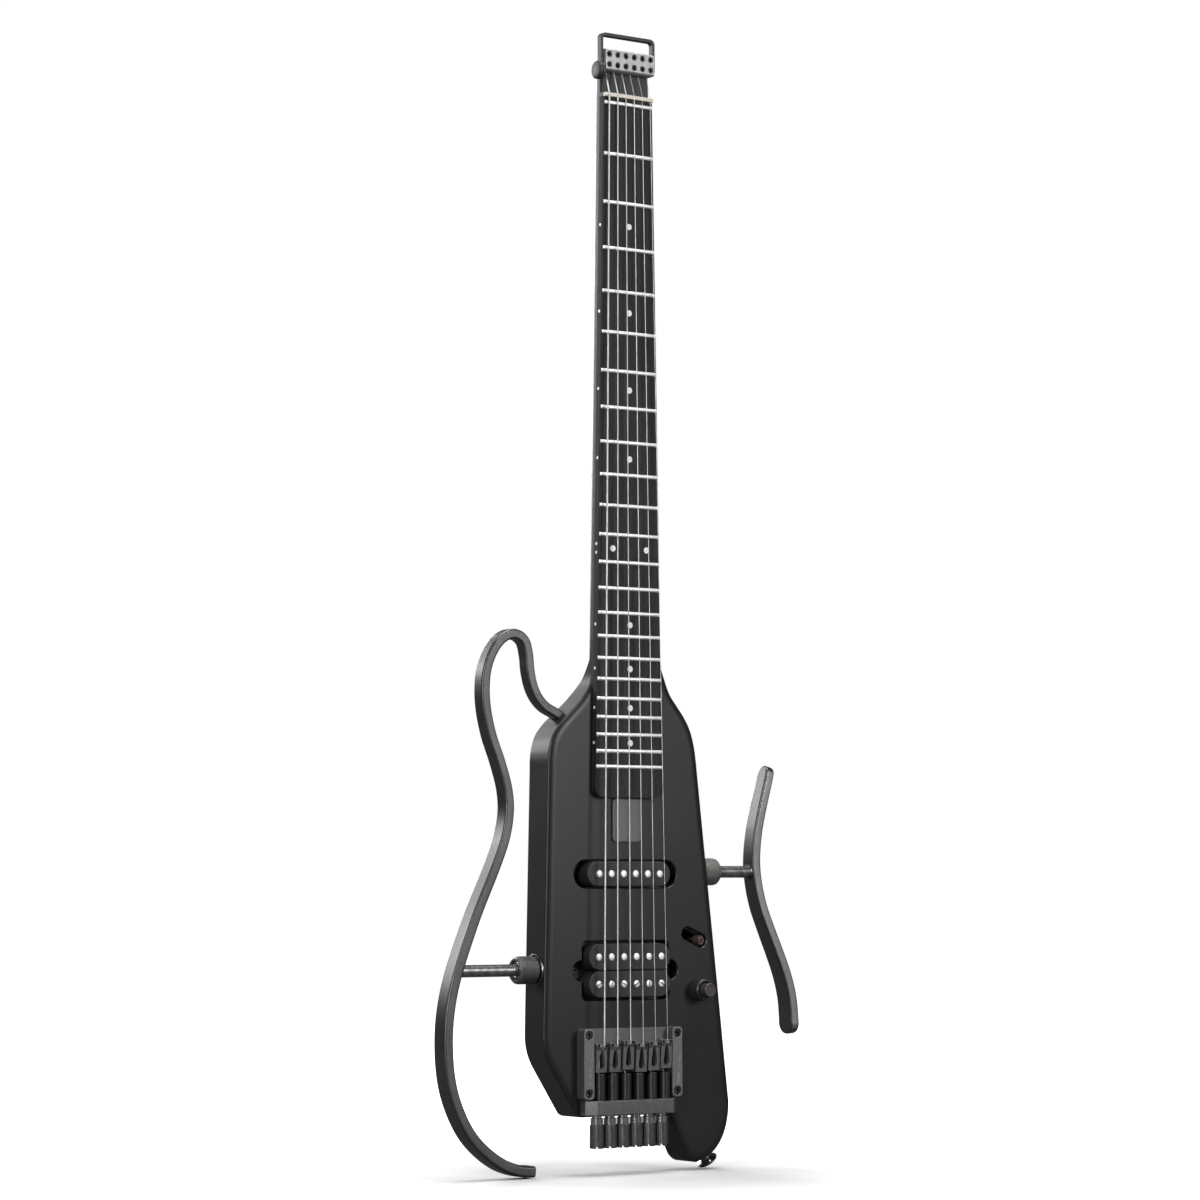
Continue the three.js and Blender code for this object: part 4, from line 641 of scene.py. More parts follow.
woodBody = {
    "top": 378, "end": 707, "shoulderEnd": 461, "bassShoulder": 63.9, "bassHalf": 68.2, "bassCornerDown": 663,
    "bassCornerRound": 12, "bassFoot": 39.7, "footRound": 4, "trebleShoulder": 62.4, "trebleHalf": 89.9,
    "trebleCornerDown": 700, "hornEnd": 741.5, "hornTip": 62, "hornInner": 52.5, "hornInnerDown": 736,
    "hornRoot": 39.5, "hornRootDown": 710, "hornRootRound": 4, "edge": 6, "edgeDeep": 2.5, "rampEnd": 480,
    "bassShares": [
        (0.01, 0.18), (0.04, 0.366), (0.226, 0.493), (0.485, 0.606), (0.747, 0.72), (0.907, 0.82), (0.975, 0.92)],
    "trebleShares": [
        (0.03, 0.1), (0.153, 0.233), (0.349, 0.434), (0.528, 0.534), (0.713, 0.634), (0.86, 0.745), (0.955, 0.88)],
    "cornerShares": [(1.007, 0.53), (0.64, 0.904)],
    "rampShares": [(0, 0.05), (0.137, 0.167), (0.261, 0.466), (0.333, 0.663), (0.451, 0.8), (0.627, 0.913), (1, 1)],
    "heelShares": [(0, 0), (0.3, 0.08), (0.62, 0.4), (1, 1)], "heelEnd": 434, "heelDepth": 19.6, "neckDepth": 15.2,
}
neckWood = {"top": 38, "headHalf": 20, "depthAtNut": 14.5, "depthAtBody": 15.2, "fullness": 2.4, "shelf": 6.5,
            "nutThick": 2.8, "nutBack": 3}
single = {"mid": 540.3, "half": 35.3, "tall": 17.6, "rise": 4.6, "deep": 10.8, "ear": 41.5, "earTall": 11,
          "cavityHalf": 43.6, "cavityTall": 19.6, "pitch": 10.25, "pole": 2.5, "poleRise": 1.0}
humbucker = {"mid": 606.8, "half": 34.5, "tall": 18.3, "gap": 0.4, "rise": 5.4, "deep": 7.6, "plate": 1.5,
             "pitch": 10.6, "poleRise": 0.6, "ear": 42.5, "earTall": 11, "wellHalf": 36.9, "wellTall": 41,
             "wellCorner": 4, "lobeHalf": 44.6, "lobeTall": 14}
selector = {"across": 59, "down": 584.6, "long": 22, "tall": 9.4, "tilt": 22.7, "swing": 20, "pivot": 17,
            "radius": 3.5, "cap": 5.4, "rise": 1.4}
knobs = {"across": 61.4, "down": 621.2, "radius": 7.7, "tall": 10, "well": 5.7, "wellDeep": 5, "stem": 4.8,
         "stemRise": 5.8, "sleeve": 4.4, "bore": 3.4, "shaft": 3}
controls = {"wood": 4, "top": 570, "foot": 640, "inner": 46.5, "outerTop": 70, "outerFoot": 77, "lip": 3.4, "cover": 2}
rods = {"radius": 4.2, "deep": 20, "bassDown": 606, "bassWall": 66.78, "trebleDown": 538.7, "trebleWall": 69.92,
        "flange": 11, "flangeThick": 1.2, "neck": 6, "neckLong": 9, "collar": 9.6, "collarLong": 15.2,
        "peg": 2.6, "pegIn": 36, "pegOut": 52, "pegDown": 430.4}
jack = {"down": 683, "seat": 84.4, "long": 30, "wide": 17, "thick": 1.6, "barrel": 6.2, "bore": 3.2, "screwsApart": 22}


def shoulder(side, word):
    b = woodBody
    neckHalf, half, end = boardHalf(b["top"]), b[word + "Shoulder"], b["shoulderEnd"]
    stops = [(side * neckHalf, -b["top"], 0)]
    stops += [(side * (neckHalf + out * (half - neckHalf)), -b["top"] - down * (end - b["top"]), 0)
              for out, down in b[word + "Shares"]]
    wall = b[word + "CornerDown"] - end
    stops += [(side * (half + (b[word + "Half"] - half) * past / wall), -end - past, 0)
              for past in (0, 8, 18)]  # the curve runs smoothly into the straight wall
    return [(p.x, p.y) for p in through(stops, 6)]


def bodyOutline():
    b = woodBody
    half, foot, corner, end = b["bassHalf"], b["bassFoot"], b["bassCornerDown"], b["end"]
    tip, low, wide, wideDown = b["hornTip"], b["hornEnd"], b["trebleHalf"], b["trebleCornerDown"]
    slope = (end - corner) / (half - foot)
    inwards = b["bassCornerRound"] / hypot(1, slope)
    outline = shoulder(-1, "bass")
    outline += quadratic((-half, -corner + b["bassCornerRound"]), (-half, -corner),
                         (-half + inwards, -corner - slope * inwards), 10)
    inwards = b["footRound"] / hypot(1, slope)
    outline += quadratic((-foot - inwards, -end + slope * inwards), (-foot, -end), (-foot + b["footRound"], -end), 8)
    root, r = b["hornRoot"], b["hornRootRound"]
    outline += quadratic((root - r, -end), (root - r / 2, -end), (root, -b["hornRootDown"]), 6)
    inner = b["hornInner"]
    outline += quadratic((inner, -b["hornInnerDown"]), (inner + b["footRound"], -low), (tip, -low), 12)
    near, far = [(tip + out * (wide - tip), -wideDown - down * (low - wideDown)) for out, down in b["cornerShares"]]
    outline += cubic((tip, -low), far, near, (wide, -wideDown), 24)[1:]
    return outline + shoulder(1, "treble")[::-1]


# The rounded back of the neck behind the plane of the body's face
def neckRing(half, deep, z, steps=28):
    ring = []
    for i in range(steps + 1):
        turn = pi * i / steps
        across = abs(cos(turn)) ** (2 / neckWood["fullness"]) * (1 if cos(turn) > 0 else -1)
        back = sin(turn) ** (2 / neckWood["fullness"]) if 0 < i < steps else 0
        ring.append((-half * across, face + deep * back, z))
    return ring


# A cutting solid with a small flare where it comes out of the face
def pocket(outlineAt, floor, flare=0.4):
    rings = [(flare + 2, face - 2), (0, face + flare), (0, floor)]
    return loft([[(x, y, z) for x, z in outlineAt(grow)] for grow, y in rings])


def stadiumAt(half, tall, z):
    return lambda grow: stadium(half + grow, tall + 2 * grow, z, 16)


# From across and up in the selector's tilted slot to the body's X and Z
def onSlot(x, z):
    tilt = radians(selector["tilt"])
    return (selector["across"] + x * cos(tilt) + z * sin(tilt), -selector["down"] - x * sin(tilt) + z * cos(tilt))


def slotOutline(grow):
    return [onSlot(x, z) for x, z in stadium(selector["long"] / 2 + grow, selector["tall"] + 2 * grow, 0)]


def wellOutline(grow):
    h = humbucker
    half, tall = h["wellHalf"] + grow, h["wellTall"] / 2
    return rounded(-half, half, -h["mid"] - tall - grow, -h["mid"] + tall + grow, h["wellCorner"] + grow, 8)


def cavityOutline(inset):
    c = controls
    return [(c["inner"] + inset, -c["top"] - inset), (c["inner"] + inset, -c["foot"] + inset),
            (c["outerFoot"] - inset, -c["foot"] + inset), (c["outerTop"] - inset, -c["top"] - inset)]


def jackOutline(grow):
    wide, long = jack["wide"] / 2 + grow, jack["long"] / 2 + grow
    return rounded(barMid - wide, barMid + wide, -jack["down"] - long, -jack["down"] + long, wide - 0.01, 12)


def bodyShell():
    b, back = woodBody, guitar["back"]
    shell = slab(bodyOutline(), face, back, b["edge"], steps=9)
    squash = b["edgeDeep"] / b["edge"]  # the edges are rounded wider than deep
    for corner in shell.data.vertices:
        y = corner.co.y / mm - shift.y
        if y < face + b["edge"] + 0.01:
            y = face + (y - face) * squash
        elif y > back - b["edge"] - 0.01:
            y = back - (back - y) * squash
        corner.co.y = (y + shift.y) * mm
    stops = [(face + share * (back - face), -b["top"] - along * (b["rampEnd"] - b["top"]), 0)
             for along, share in b["rampShares"]]
    low = -b["hornEnd"] - 2
    ramp = [(face - 2, -b["top"]), *[(p.x, p.y) for p in through(stops, 6)],
            (back + 2, -b["rampEnd"]), (back + 2, low), (face - 2, low)]
    combined(shell, [slab(ramp, -b["bassHalf"] - 4, b["trebleHalf"] + 4, plan="side")], "INTERSECT")
    heel = []
    for p in through([(along, deeper, 0) for along, deeper in b["heelShares"]], 4):
        down = b["top"] + p.x * (b["heelEnd"] - b["top"])
        heel.append(neckRing(boardHalf(down), b["neckDepth"] + p.y * (b["heelDepth"] - b["neckDepth"]), -down))
    combined(shell, [loft(heel)], "UNION")
    singleFloor = face + single["deep"] + gap
    coilFloor = face + humbucker["deep"] + humbucker["plate"] + 2 * gap
    front = face + controls["wood"]
    cuts = [
        pocket(stadiumAt(single["cavityHalf"], single["cavityTall"], -single["mid"]), singleFloor),
        pocket(wellOutline, coilFloor),
        pocket(stadiumAt(humbucker["lobeHalf"], humbucker["lobeTall"], -humbucker["mid"]), coilFloor),
        pocket(slotOutline, front + 1, 0.7),
        slab(cavityOutline(0), front, back + 2),
        slab(cavityOutline(-controls["lip"]), back - controls["cover"] - gap, back + 2),
        bore(knobs["sleeve"] + gap, face - 2, front + 2, "y", (knobs["across"], 0, -knobs["down"])),
    ]
    for side, word in ((-1, "bass"), (1, "treble")):
        wall, mid = rods[word + "Wall"], (0, barMid, -rods[word + "Down"])
        cuts.append(bore(rods["radius"] + gap, side * (wall - rods["deep"] - gap), side * (wall + 4), "x", mid))
        cuts.append(bore(rods["flange"] + gap, side * wall, side * (wall + 9), "x", mid))
    cuts.append(slab(jackOutline(gap), jack["seat"], b["trebleHalf"] + 2, plan="side"))
    cuts.append(bore(rods["peg"] + gap, -b["bassHalf"], -rods["pegIn"] + gap, "x", (0, barMid, -rods["pegDown"]), 20))
    combined(shell, cuts)
    piece(shell, "bodyShell", "paint", "body", sharp=40)


def neckShaft():
    n = neckWood
    half, top, boardTop, bodyTop = guitar["halfAtZero"], n["top"], guitar["boardTop"], woodBody["top"]
    shaft = loft([
        neckRing(n["headHalf"] - 1, n["depthAtNut"] - 1, top),
        neckRing(n["headHalf"], n["depthAtNut"], top - 1),
        neckRing(half, n["depthAtNut"], boardTop),
        neckRing(boardHalf(bodyTop / 2), (n["depthAtNut"] + n["depthAtBody"]) / 2, -bodyTop / 2),
        neckRing(boardHalf(bodyTop), n["depthAtBody"], -bodyTop - 4),
    ])
    low = boardTop + n["nutThick"] + gap
    shelf = slab([(-n["headHalf"], top), (-half, low), (half, low), (n["headHalf"], top)], n["shelf"], face + 2, 0.5)
    ledge = slab([(-half, boardTop + gap), (half, boardTop + gap), (half, low + gap), (-half, low + gap)],
                 n["nutBack"] + gap, face + 2, 0.2)
    combined(shaft, [shelf, ledge], "UNION")
    # The neck takes the lighter copy of the paint: painted light
    piece(shaft, "neckShaft", "neckPaintPaintedLight", "neck", "truss_rod", sharp=40)


bodyShell()
neckShaft()
print("body and neck:", len(made))

# Fretboard, frets, dots and nut

board = {"corner": 6, "round": 0.8, "frets": 22, "fretWide": 2.5, "fretInset": 0.5, "dot": 2.2, "sideDot": 1.1,
         "sideDotDeep": 4.6, "dotFrets": [3, 5, 7, 9, 15, 17, 19, 21], "pairFret": 12, "pairAcross": 14.3}


def boardRow(half, z):
    r = board["round"]
    inner = half - r

    def front(x):
        return guitar["fretRise"] + camber(x)

    row = [(-half, face, z), (-half, front(half) + r, z), (-half + 0.3 * r, front(half) + 0.3 * r, z)]
    row += [(-inner + 2 * inner * i / 14, front(-inner + 2 * inner * i / 14), z) for i in range(15)]
    return row + [(half - 0.3 * r, front(half) + 0.3 * r, z), (half, front(half) + r, z), (half, face, z)]


def fretboard():
    end, r = guitar["boardEnd"], board["corner"]
    rows = [(guitar["halfAtZero"] - gap, guitar["boardTop"]), (guitar["halfAtZero"], guitar["boardTop"] - gap)]
    rows += [(boardHalf(down), -down) for down in (120, 240, 360, end - r)]
    for i in range(1, 9):
        turn = pi / 2 * i / 8.3  # the corner stops just short of a square end
        rows.append((guitar["halfAtEnd"] - r * (1 - cos(turn)), -(end - r) - r * sin(turn)))
    piece(loft([boardRow(half, z) for half, z in rows]), "fingerBoard", "board", "fretboard", sharp=30)


def fretWire(down):
    half = boardHalf(down) - board["fretInset"]
    rise, wide = guitar["fretRise"], board["fretWide"] / 2
    rings = []
    for across, share in ((-1, 0.05), (-0.985, 0.6), (-0.96, 0.95), (-0.6, 1), (-0.2, 1),
                          (0.2, 1), (0.6, 1), (0.96, 0.95), (0.985, 0.6), (1, 0.05)):
        x = across * half
        crown = rise + camber(x)
        ring = [(x, crown + 0.4, -down - wide), (x, crown + 0.4, -down + wide)]
        ring += [(x, crown - share * rise * sin(turn) ** 0.8, -down + wide * cos(turn)) for turn in arc(0, pi, 8)]
        rings.append(ring)
    return loft(rings)


def frets():
    wires = [fretWire(fretDown(n)) for n in range(board["frets"] + 1)]
    piece(together(wires), "fretWires", "fret", sharp=60)


def disc(across, down, radius):
    lift = guitar["fretRise"] - 0.05
    rim = [(across + a, lift + camber(across + a), -down + b) for a, b in circle(radius, 24)]
    return loft([[(x, y + 0.5, z) for x, y, z in rim], rim])


def dots():
    b = board
    mids = [(fretDown(n - 1) + fretDown(n)) / 2 for n in b["dotFrets"]]
    pair = (fretDown(b["pairFret"] - 1) + fretDown(b["pairFret"])) / 2
    spots = [disc(0, down, b["dot"]) for down in mids]
    spots += [disc(side * b["pairAcross"], pair, b["dot"]) for side in (-1, 1)]
    piece(together(spots), "faceDots", "dot")
    edges = []
    for down in [*mids, pair - 3, pair + 3]:
        x, r = boardHalf(down), b["sideDot"]
        edges.append(turned([(0, -x - 0.05), (r, -x - 0.05), (r, -x + 1), (0, -x + 1)],
                            "x", (0, b["sideDotDeep"], -down), 20))
    piece(together(edges), "sideDots", "dot")


# What the strings pass: the clamp, the saddles, the carriages
clamp = {"half": 20.9, "front": 1, "low": 22.6, "tall": 15.3, "edge": 1.0, "pitch": 7.1, "rows": 7.4, "screw": 2.0,
         "drop": 0.5, "socket": 1.3, "stringDeep": 4.6}
bridge = {"half": 41.5, "top": 646.2, "long": 48.4, "railWide": 8.5, "railRise": 9.5, "corner": 2.6, "screw": 3,
          "inset": 4.4, "drop": 0.8, "socket": 1.25, "plate": 2, "window": 676.9, "barTop": 695.4, "barTall": 10,
          "beamHalf": 38.9, "frontHalf": 32.1, "barRise": 12.4, "shoulder": 6.1, "pitch": 10.9}
tuners = {"rise": 3.5, "carriage": 3.7, "top": 677.2, "long": 19.4, "front": 11.3, "stringRise": 6.1, "screw": 1.9,
          "screwReach": 3, "neck": 3.4, "neckLong": 6, "collar": 4.4, "head": 5, "headLong": 16.4, "travel": 3.5}
saddles = {"top": 656.3, "long": 20, "wide": 9.3, "crest": 2.2, "foot": 1.6, "tail": 0.8, "plate": 2.9, "end": 1.2,
           "tear": 2.2, "tearLong": 13, "tearFrom": 2.6, "tip": 0.8, "channel": 1.1, "screw": 1.05,
           "screwInset": 1.55, "slotRoom": 0.25, "slotLong": 3.2, "pitch": 10.7,
           "shares": [0, 0.01, 0.08, -0.015, 0.03, 0.08]}
wires = {"radii": [0.6, 0.48, 0.36, 0.26, 0.21, 0.18], "wound": 3, "nutPitch": 7.09, "rise": 5, "arch": 350,
         "inCarriage": 5.2}


def nutBlock():
    half, low = guitar["halfAtZero"] - gap, guitar["boardTop"] + gap
    high, back = guitar["boardTop"] + neckWood["nutThick"], neckWood["nutBack"]
    across = [-half + half * i / 8 for i in range(17)]
    profile = [(-half, back), *[(x, camber(x) - 0.6) for x in across], (half, back)]
    nut = bevelled(slab(profile, low, high, plan="end"), 0.35, 3)
    slots = []
    for i, r in enumerate(wires["radii"]):
        x = spread(i, wires["nutPitch"])
        slots.append(bore(r + 0.1, low - 1, high + 1, "z", (x, camber(x) - r - gap, 0), 12))
    combined(nut, slots)
    piece(nut, "nutBlock", "bone", "nut")


fretboard()
frets()
dots()
nutBlock()
print("fretboard:", len(made))

# Strings


def saddleTopAt(i):
    return -saddles["top"] + saddles["shares"][i] * saddles["long"]


def stringAtSaddle(i):
    x, outer = (spread(n, saddles["pitch"]) for n in (i, guitar["strings"] - 1))
    return -wires["rise"] - camber(outer, wires["arch"]) + camber(x, wires["arch"])


def wirePath(i):
    clampX, nutX, saddleX, endX = (spread(i, pitch) for pitch in (
        clamp["pitch"], wires["nutPitch"], saddles["pitch"], bridge["pitch"]))
    clampY, nutY, saddleY, endY = (clamp["stringDeep"], camber(nutX) - wires["radii"][i] - gap,
                                   stringAtSaddle(i), face - tuners["stringRise"])
    low, crest = guitar["boardTop"] + neckWood["nutThick"], saddleTopAt(i) - saddles["crest"]
    return [(clampX, clampY, clamp["low"] + 9.8), (clampX, clampY, clamp["low"]),
            (nutX, nutY + 0.12, low + 0.6), (nutX, nutY, low - 0.6), (nutX, nutY, 0),
            (saddleX, saddleY, crest + 1.1), (saddleX, saddleY, crest), (saddleX, saddleY + 3.4, crest - 2.4),
            (endX, endY, crest - 6.5), (endX, endY, -tuners["top"] + gap),
            (endX, endY, -tuners["top"] - wires["inCarriage"])]


def guitarString(i):
    number = guitar["strings"] - i
    wire = loft([[(x + a, y + b, z) for a, b in circle(wires["radii"][i], 14)] for x, y, z in wirePath(i)])
    piece(wire, f"wire{number}", "wound" if i < wires["wound"] else "plain", f"string_{number}", sharp=70)


for index in strings:
    guitarString(index)
print("strings:", len(made))


# A screw head with a hexagonal socket, its face at the centre and its body further along the axis
def hexScrew(radius, socket, deep, tall, axis, centre, sign=1, sides=24):
    def hexagon(t):
        return socket / cos((t % (pi / 3)) - pi / 6)

    rings = []
    for size, along in ((thin, tall), (radius, tall), (radius, 0.3), (radius - 0.3, 0), ("hex", 0), ("hex", deep),
                        (thin, deep + 0.3)):
        turns = [2 * pi * i / sides for i in range(sides)]
        sizes = [hexagon(t) if size == "hex" else size for t in turns]
        rings.append([beside(axis, centre, r * cos(t), r * sin(t), sign * along) for r, t in zip(sizes, turns)])
    return loft(rings, False)


# Head clamp, hanging loop and its strap button

loop = {"outer": 23.2, "thick": 2, "topThick": 2.5, "top": 49.7, "corner": 4, "depth": 5, "front": 1.6,
        "foot": 26, "eye": 6.3, "eyeHigh": 22.6, "pin": 1.8, "reach": 3.2}


def stringClamp():
    c = clamp
    back, low, high, front = neckWood["shelf"] - gap, c["low"], c["low"] + c["tall"], -c["front"]
    profile = [(front, low + c["edge"]), (front + c["edge"], low), (back, low), (back, high),
               (front + c["edge"], high), (front, high - c["edge"])]
    block = bevelled(slab(profile, -c["half"], c["half"], plan="side"), 0.45, 3, 20)
    spots = [(spread(i, c["pitch"]), 0, low + (c["tall"] + row * c["rows"]) / 2) for i in strings for row in (-1, 1)]
    holes = [turned([(c["screw"] + 0.65, front - 0.3), (c["screw"] + 0.2, front + 0.2), (c["screw"] + 0.2, front + 4)],
                    "y", spot, 28) for spot in spots]
    holes += [bore(1, low - 1, low + 7, "z", (spread(i, c["pitch"]), c["stringDeep"], 0), 16) for i in strings]
    combined(block, [together(holes)])
    piece(block, "clampBlock", "clamp", "string_clamp")
    screws = [hexScrew(c["screw"], c["socket"], 2.4, 3.2, "y", (x, front + c["drop"], z)) for x, y, z in spots]
    piece(together(screws), "clampScrews", "clampScrew")


def hangingLoop():
    p = loop
    outer, inner, r = p["outer"], p["outer"] - p["thick"], p["corner"]
    roof, small = p["top"] - p["topThick"], r - p["thick"]
    bow = [(outer, p["foot"])] + bend(outer - r, p["top"] - r, r, 0, pi / 2, 8)
    bow += bend(-outer + r, p["top"] - r, r, pi / 2, pi, 8) + [(-outer, p["foot"]), (-inner, p["foot"])]
    bow += bend(-inner + small, roof - small, small, pi, pi / 2, 6)
    bow += bend(inner - small, roof - small, small, pi / 2, 0, 6) + [(inner, p["foot"])]
    back = p["front"] + p["depth"]
    bar = slab(bow, p["front"], back, 0.5)
    mid, eye, pin = (0, (p["front"] + back) / 2, p["eyeHigh"]), p["eye"], p["pin"]
    combined(bar, [turned([(eye - 0.4, -outer), (eye, -outer + 0.4), (eye, -inner - 0.2), (eye - 0.2, -inner)],
                          "x", mid)], "UNION")
    combined(bar, [bore(pin + gap, -outer - 2, -inner + 2, "x", mid)])
    piece(bar, "hangingLoop", "loop", "hanging_loop")
    start = -outer - gap
    tip = start - p["reach"]
    button = turned([(0, tip), (3.4, tip), (3.7, tip + 0.25), (4.9, tip + 0.25), (5.8, tip + 0.6), (eye, start - 2.1),
                     (eye, start - 0.5), (eye - 0.5, start), (pin, start), (pin, start + 2.6), (0, start + 2.6)],
                    "x", mid, 48)
    piece(button, "loopButton", "loopButton", "head_strap_button")


stringClamp()
hangingLoop()
print("head:", len(made))

# Bridge: plate between two rails, and the cross bar that the tuner screws pass through


def bridgeBase():
    b = bridge
    low, front, r = b["top"] + b["long"], face - b["railRise"], b["screw"]
    parts, screws, holes = [], [], []
    for side in (-1, 1):
        ends = sorted((side * b["half"], side * (b["half"] - b["railWide"])))
        parts.append(slab(rounded(*ends, -low, -b["top"], b["corner"]), front, face, 0.45))
        for down in (b["top"] + b["inset"], low - b["inset"]):
            x = sum(ends) / 2
            holes.append(turned([(r + 0.5, front - 0.25), (r + 0.05, front + 0.2), (r + 0.05, front + 3)],
                                "y", (x, 0, -down), 32))
            screws.append(hexScrew(r, b["socket"], 1.6, 2, "y", (x, front + b["drop"], -down)))
    rails = together(parts)
    combined(rails, [together(holes)])
    piece(rails, "bridgeRails", "rail", "bridge_base")
    piece(together(screws), "railScrews", "screw")
    inner, top = b["half"] - b["railWide"] - 0.05, -b["top"] - gap
    sheet = [(-inner, -b["window"]), (inner, -b["window"]), (inner, top), (-inner, top)]
    piece(slab(sheet, face - b["plate"], face, 0.3), "bridgePlate", "bridge")


def tunerBeam():
    b, t = bridge, tuners
    half, frontHalf, foot = b["beamHalf"], b["frontHalf"], -b["barTop"] - b["barTall"]
    plan = [(-half, face - gap), (-half, face - b["shoulder"]), (-frontHalf, face - b["barRise"]),
            (frontHalf, face - b["barRise"]), (half, face - b["shoulder"]), (half, face - gap)]
    beam = bevelled(slab(plan, foot, -b["barTop"], plan="end"), 0.5, 3, 20)
    reach = t["carriage"] + gap
    cuts = []
    for i in strings:
        x = spread(i, b["pitch"])
        cuts.append(slab(rounded(x - reach, x + reach, face - t["front"] - gap, face + reach, reach, 8),
                         -(t["top"] + t["long"] + t["travel"] + gap), -b["barTop"] + 2, plan="end"))
        cuts.append(bore(t["screw"] + gap, foot - 2, -b["barTop"] + 2, "z", (x, face - t["rise"], 0), 20))
    combined(beam, cuts)
    piece(beam, "tunerBeam", "bridge", "tuner_bar")


# Saddle: a block with a crest, a slot and a tear-shaped window for its string, and two height screws
def saddle(i):
    s = saddles
    x, top = spread(i, bridge["pitch"]), saddleTopAt(i)
    low, ridge = top - s["long"], top - s["crest"]
    crest = stringAtSaddle(i) + wires["radii"][i] + gap
    flat, foot, under = crest + s["end"], face - bridge["plate"] - gap, crest + s["plate"]
    profile = [(flat, top), (foot - s["foot"], top), (foot, top - s["foot"]), (foot, low), (flat + s["tail"], low),
               (flat + s["tail"] * 0.5, low + 6), (flat, top - 2 * s["crest"]),
               (crest, ridge - 0.5), (crest, ridge + 0.5)]
    block = bevelled(slab(profile, x - s["wide"] / 2, x + s["wide"] / 2, plan="side"), 0.3, 2, 30)
    r, bottom = s["tear"], low + s["tearFrom"] + s["tear"]
    tip = bottom + s["tearLong"] - r
    tear = quadratic((-s["tip"], tip), (-r, bottom + r), (-r, bottom), 10)
    tear += bend(0, bottom, r, pi, 2 * pi, 12)[1:-1]
    tear += quadratic((r, bottom), (r, bottom + r), (s["tip"], tip), 10)

    def grown(grow, y):
        return [(x + a * (1 + grow / r), y, b + (0.5 * grow if b > tip - 1 else -grow if b < bottom else 0))
                for a, b in tear]

    def oblong(mid, half, lowest, highest, front, deep):
        corners = [(mid - half, lowest), (mid + half, lowest), (mid + half, highest), (mid - half, highest)]
        return slab(corners, front, deep)

    cuts = [
        loft([grown(0.9, crest - 1.5), grown(0.35, flat + 0.1), grown(0, flat + 0.7), grown(0, face)]),
        oblong(x, s["channel"], low - 2, ridge - r, under, face),
        oblong(spread(i, s["pitch"]), wires["radii"][i] + s["slotRoom"], ridge + 0.1 - s["slotLong"], ridge + 0.1,
               crest - 1, under + 0.4),
    ]
    screws, hole = [], s["screw"] + 0.1
    for side in (-1, 1):
        across, up = x + side * (s["wide"] / 2 - s["screwInset"]), top - s["screwInset"]
        cuts.append(turned([(hole + 0.25, crest - 1), (hole, flat + 0.15), (hole, flat + 3)], "y", (across, 0, up), 20))
        screws.append(hexScrew(s["screw"], 0.45, 0.8, 2.4, "y", (across, flat + 0.35, up), 1, 18))
    combined(block, cuts)
    number = guitar["strings"] - i
    piece(block, f"saddleBlock{number}", "saddle", f"saddle_{number}")
    piece(together(screws), f"saddleScrews{number}", "screw")


def carriage(i):
    t = tuners
    x, r, top, low = spread(i, bridge["pitch"]), t["carriage"], -t["top"], -t["top"] - t["long"]
    y = face - t["stringRise"]
    rod = slab(rounded(x - r, x + r, face - t["front"], face - gap, r - 0.01, 12), low, top, 0.5, plan="end")
    cuts = [turned([(1.3, top - 6), (1.3, top - 0.5), (2.1, top + 0.3)], "z", (x, y, 0), 20),
            bore(t["screw"] + gap, low - 1, low + 8, "z", (x, face - t["rise"], 0), 20),
            bore(1.6, r - 0.6, r + 1, "x", (x, y, top - 5), 20)]
    combined(rod, cuts)
    number = guitar["strings"] - i
    piece(rod, f"carriageRod{number}", "carriage", f"carriage_{number}", body=f"carriage_{number}")


def tunerScrew(i):
    t = tuners
    centre = (spread(i, bridge["pitch"]), face - t["rise"], 0)
    start = -bridge["barTop"] - bridge["barTall"] - gap
    headTop = start - t["neckLong"]
    headLow, free, collar = headTop - t["headLong"], -woodBody["end"] - gap, t["collar"]
    reach = -t["top"] - t["long"] + t["screwReach"]
    neck = turned([(0, reach), (t["screw"], reach), (t["screw"], start), (t["neck"], start), (t["neck"], free),
                   (collar - 0.35, free), (collar, free - 0.35), (collar, headTop - 1)], "z", centre, 36)
    number = guitar["strings"] - i
    piece(neck, f"tunerNeck{number}", "neckPin", f"tuner_{number}", body=f"tuner_{number}")
    r = t["head"]
    head = knurled([(r - 0.9, headTop, 0), (r - 0.25, headTop - 0.5, 0), (r, headTop - 0.9, 1), (r, headLow + 0.7, 1),
                    (r - 0.5, headLow, 0)], "z", centre, 18, 0.22)
    cuts = [bore(r - 1.5, headLow - 1, headLow + 1.3, "z", centre, 32)]
    cuts += [slab(turnedBar(centre[0], centre[1], pi * n / 3, 7, 0.75), headLow - 1, headLow + 1.4, plan="end")
             for n in range(3)]
    combined(head, cuts)
    piece(head, f"tunerHead{number}", "tuner", body=f"tuner_{number}")


bridgeBase()
tunerBeam()
for index in strings:
    saddle(index)
    carriage(index)
    tunerScrew(index)
print("bridge:", len(made))

# Pickups, plaque and controls

plain = {"half": 11.9, "low": -518, "high": -488, "corner": 3, "thick": 1.6}


def coilCover(name, form, mid, edge, node):
    cover = slab(stadium(form["half"], form["tall"], mid, 16), face - form["rise"], face + form["deep"], edge, steps=4)
    piece(cover, name, "coil", node)


def poleRow(name, form, mid, slotted=False):
    front, r = face - form["rise"] - form["poleRise"], single["pole"]
    poles = []
    for i in strings:
        x = spread(i, form["pitch"])
        pole = turned([(0, front), (r - 0.7, front + 0.02), (r - 0.2, front + 0.18), (r, front + 0.5),
                       (r, front + 2.5), (0, front + 2.5)], "y", (x, 0, mid), 28)
        if slotted:
            turn = pi * (i * 2 + 1) / guitar["strings"]
            combined(pole, [slab(turnedBar(x, mid, turn, 4, 0.4), front - 1, front + 0.6)])
        poles.append(pole)
    piece(together(poles), name, "pole")


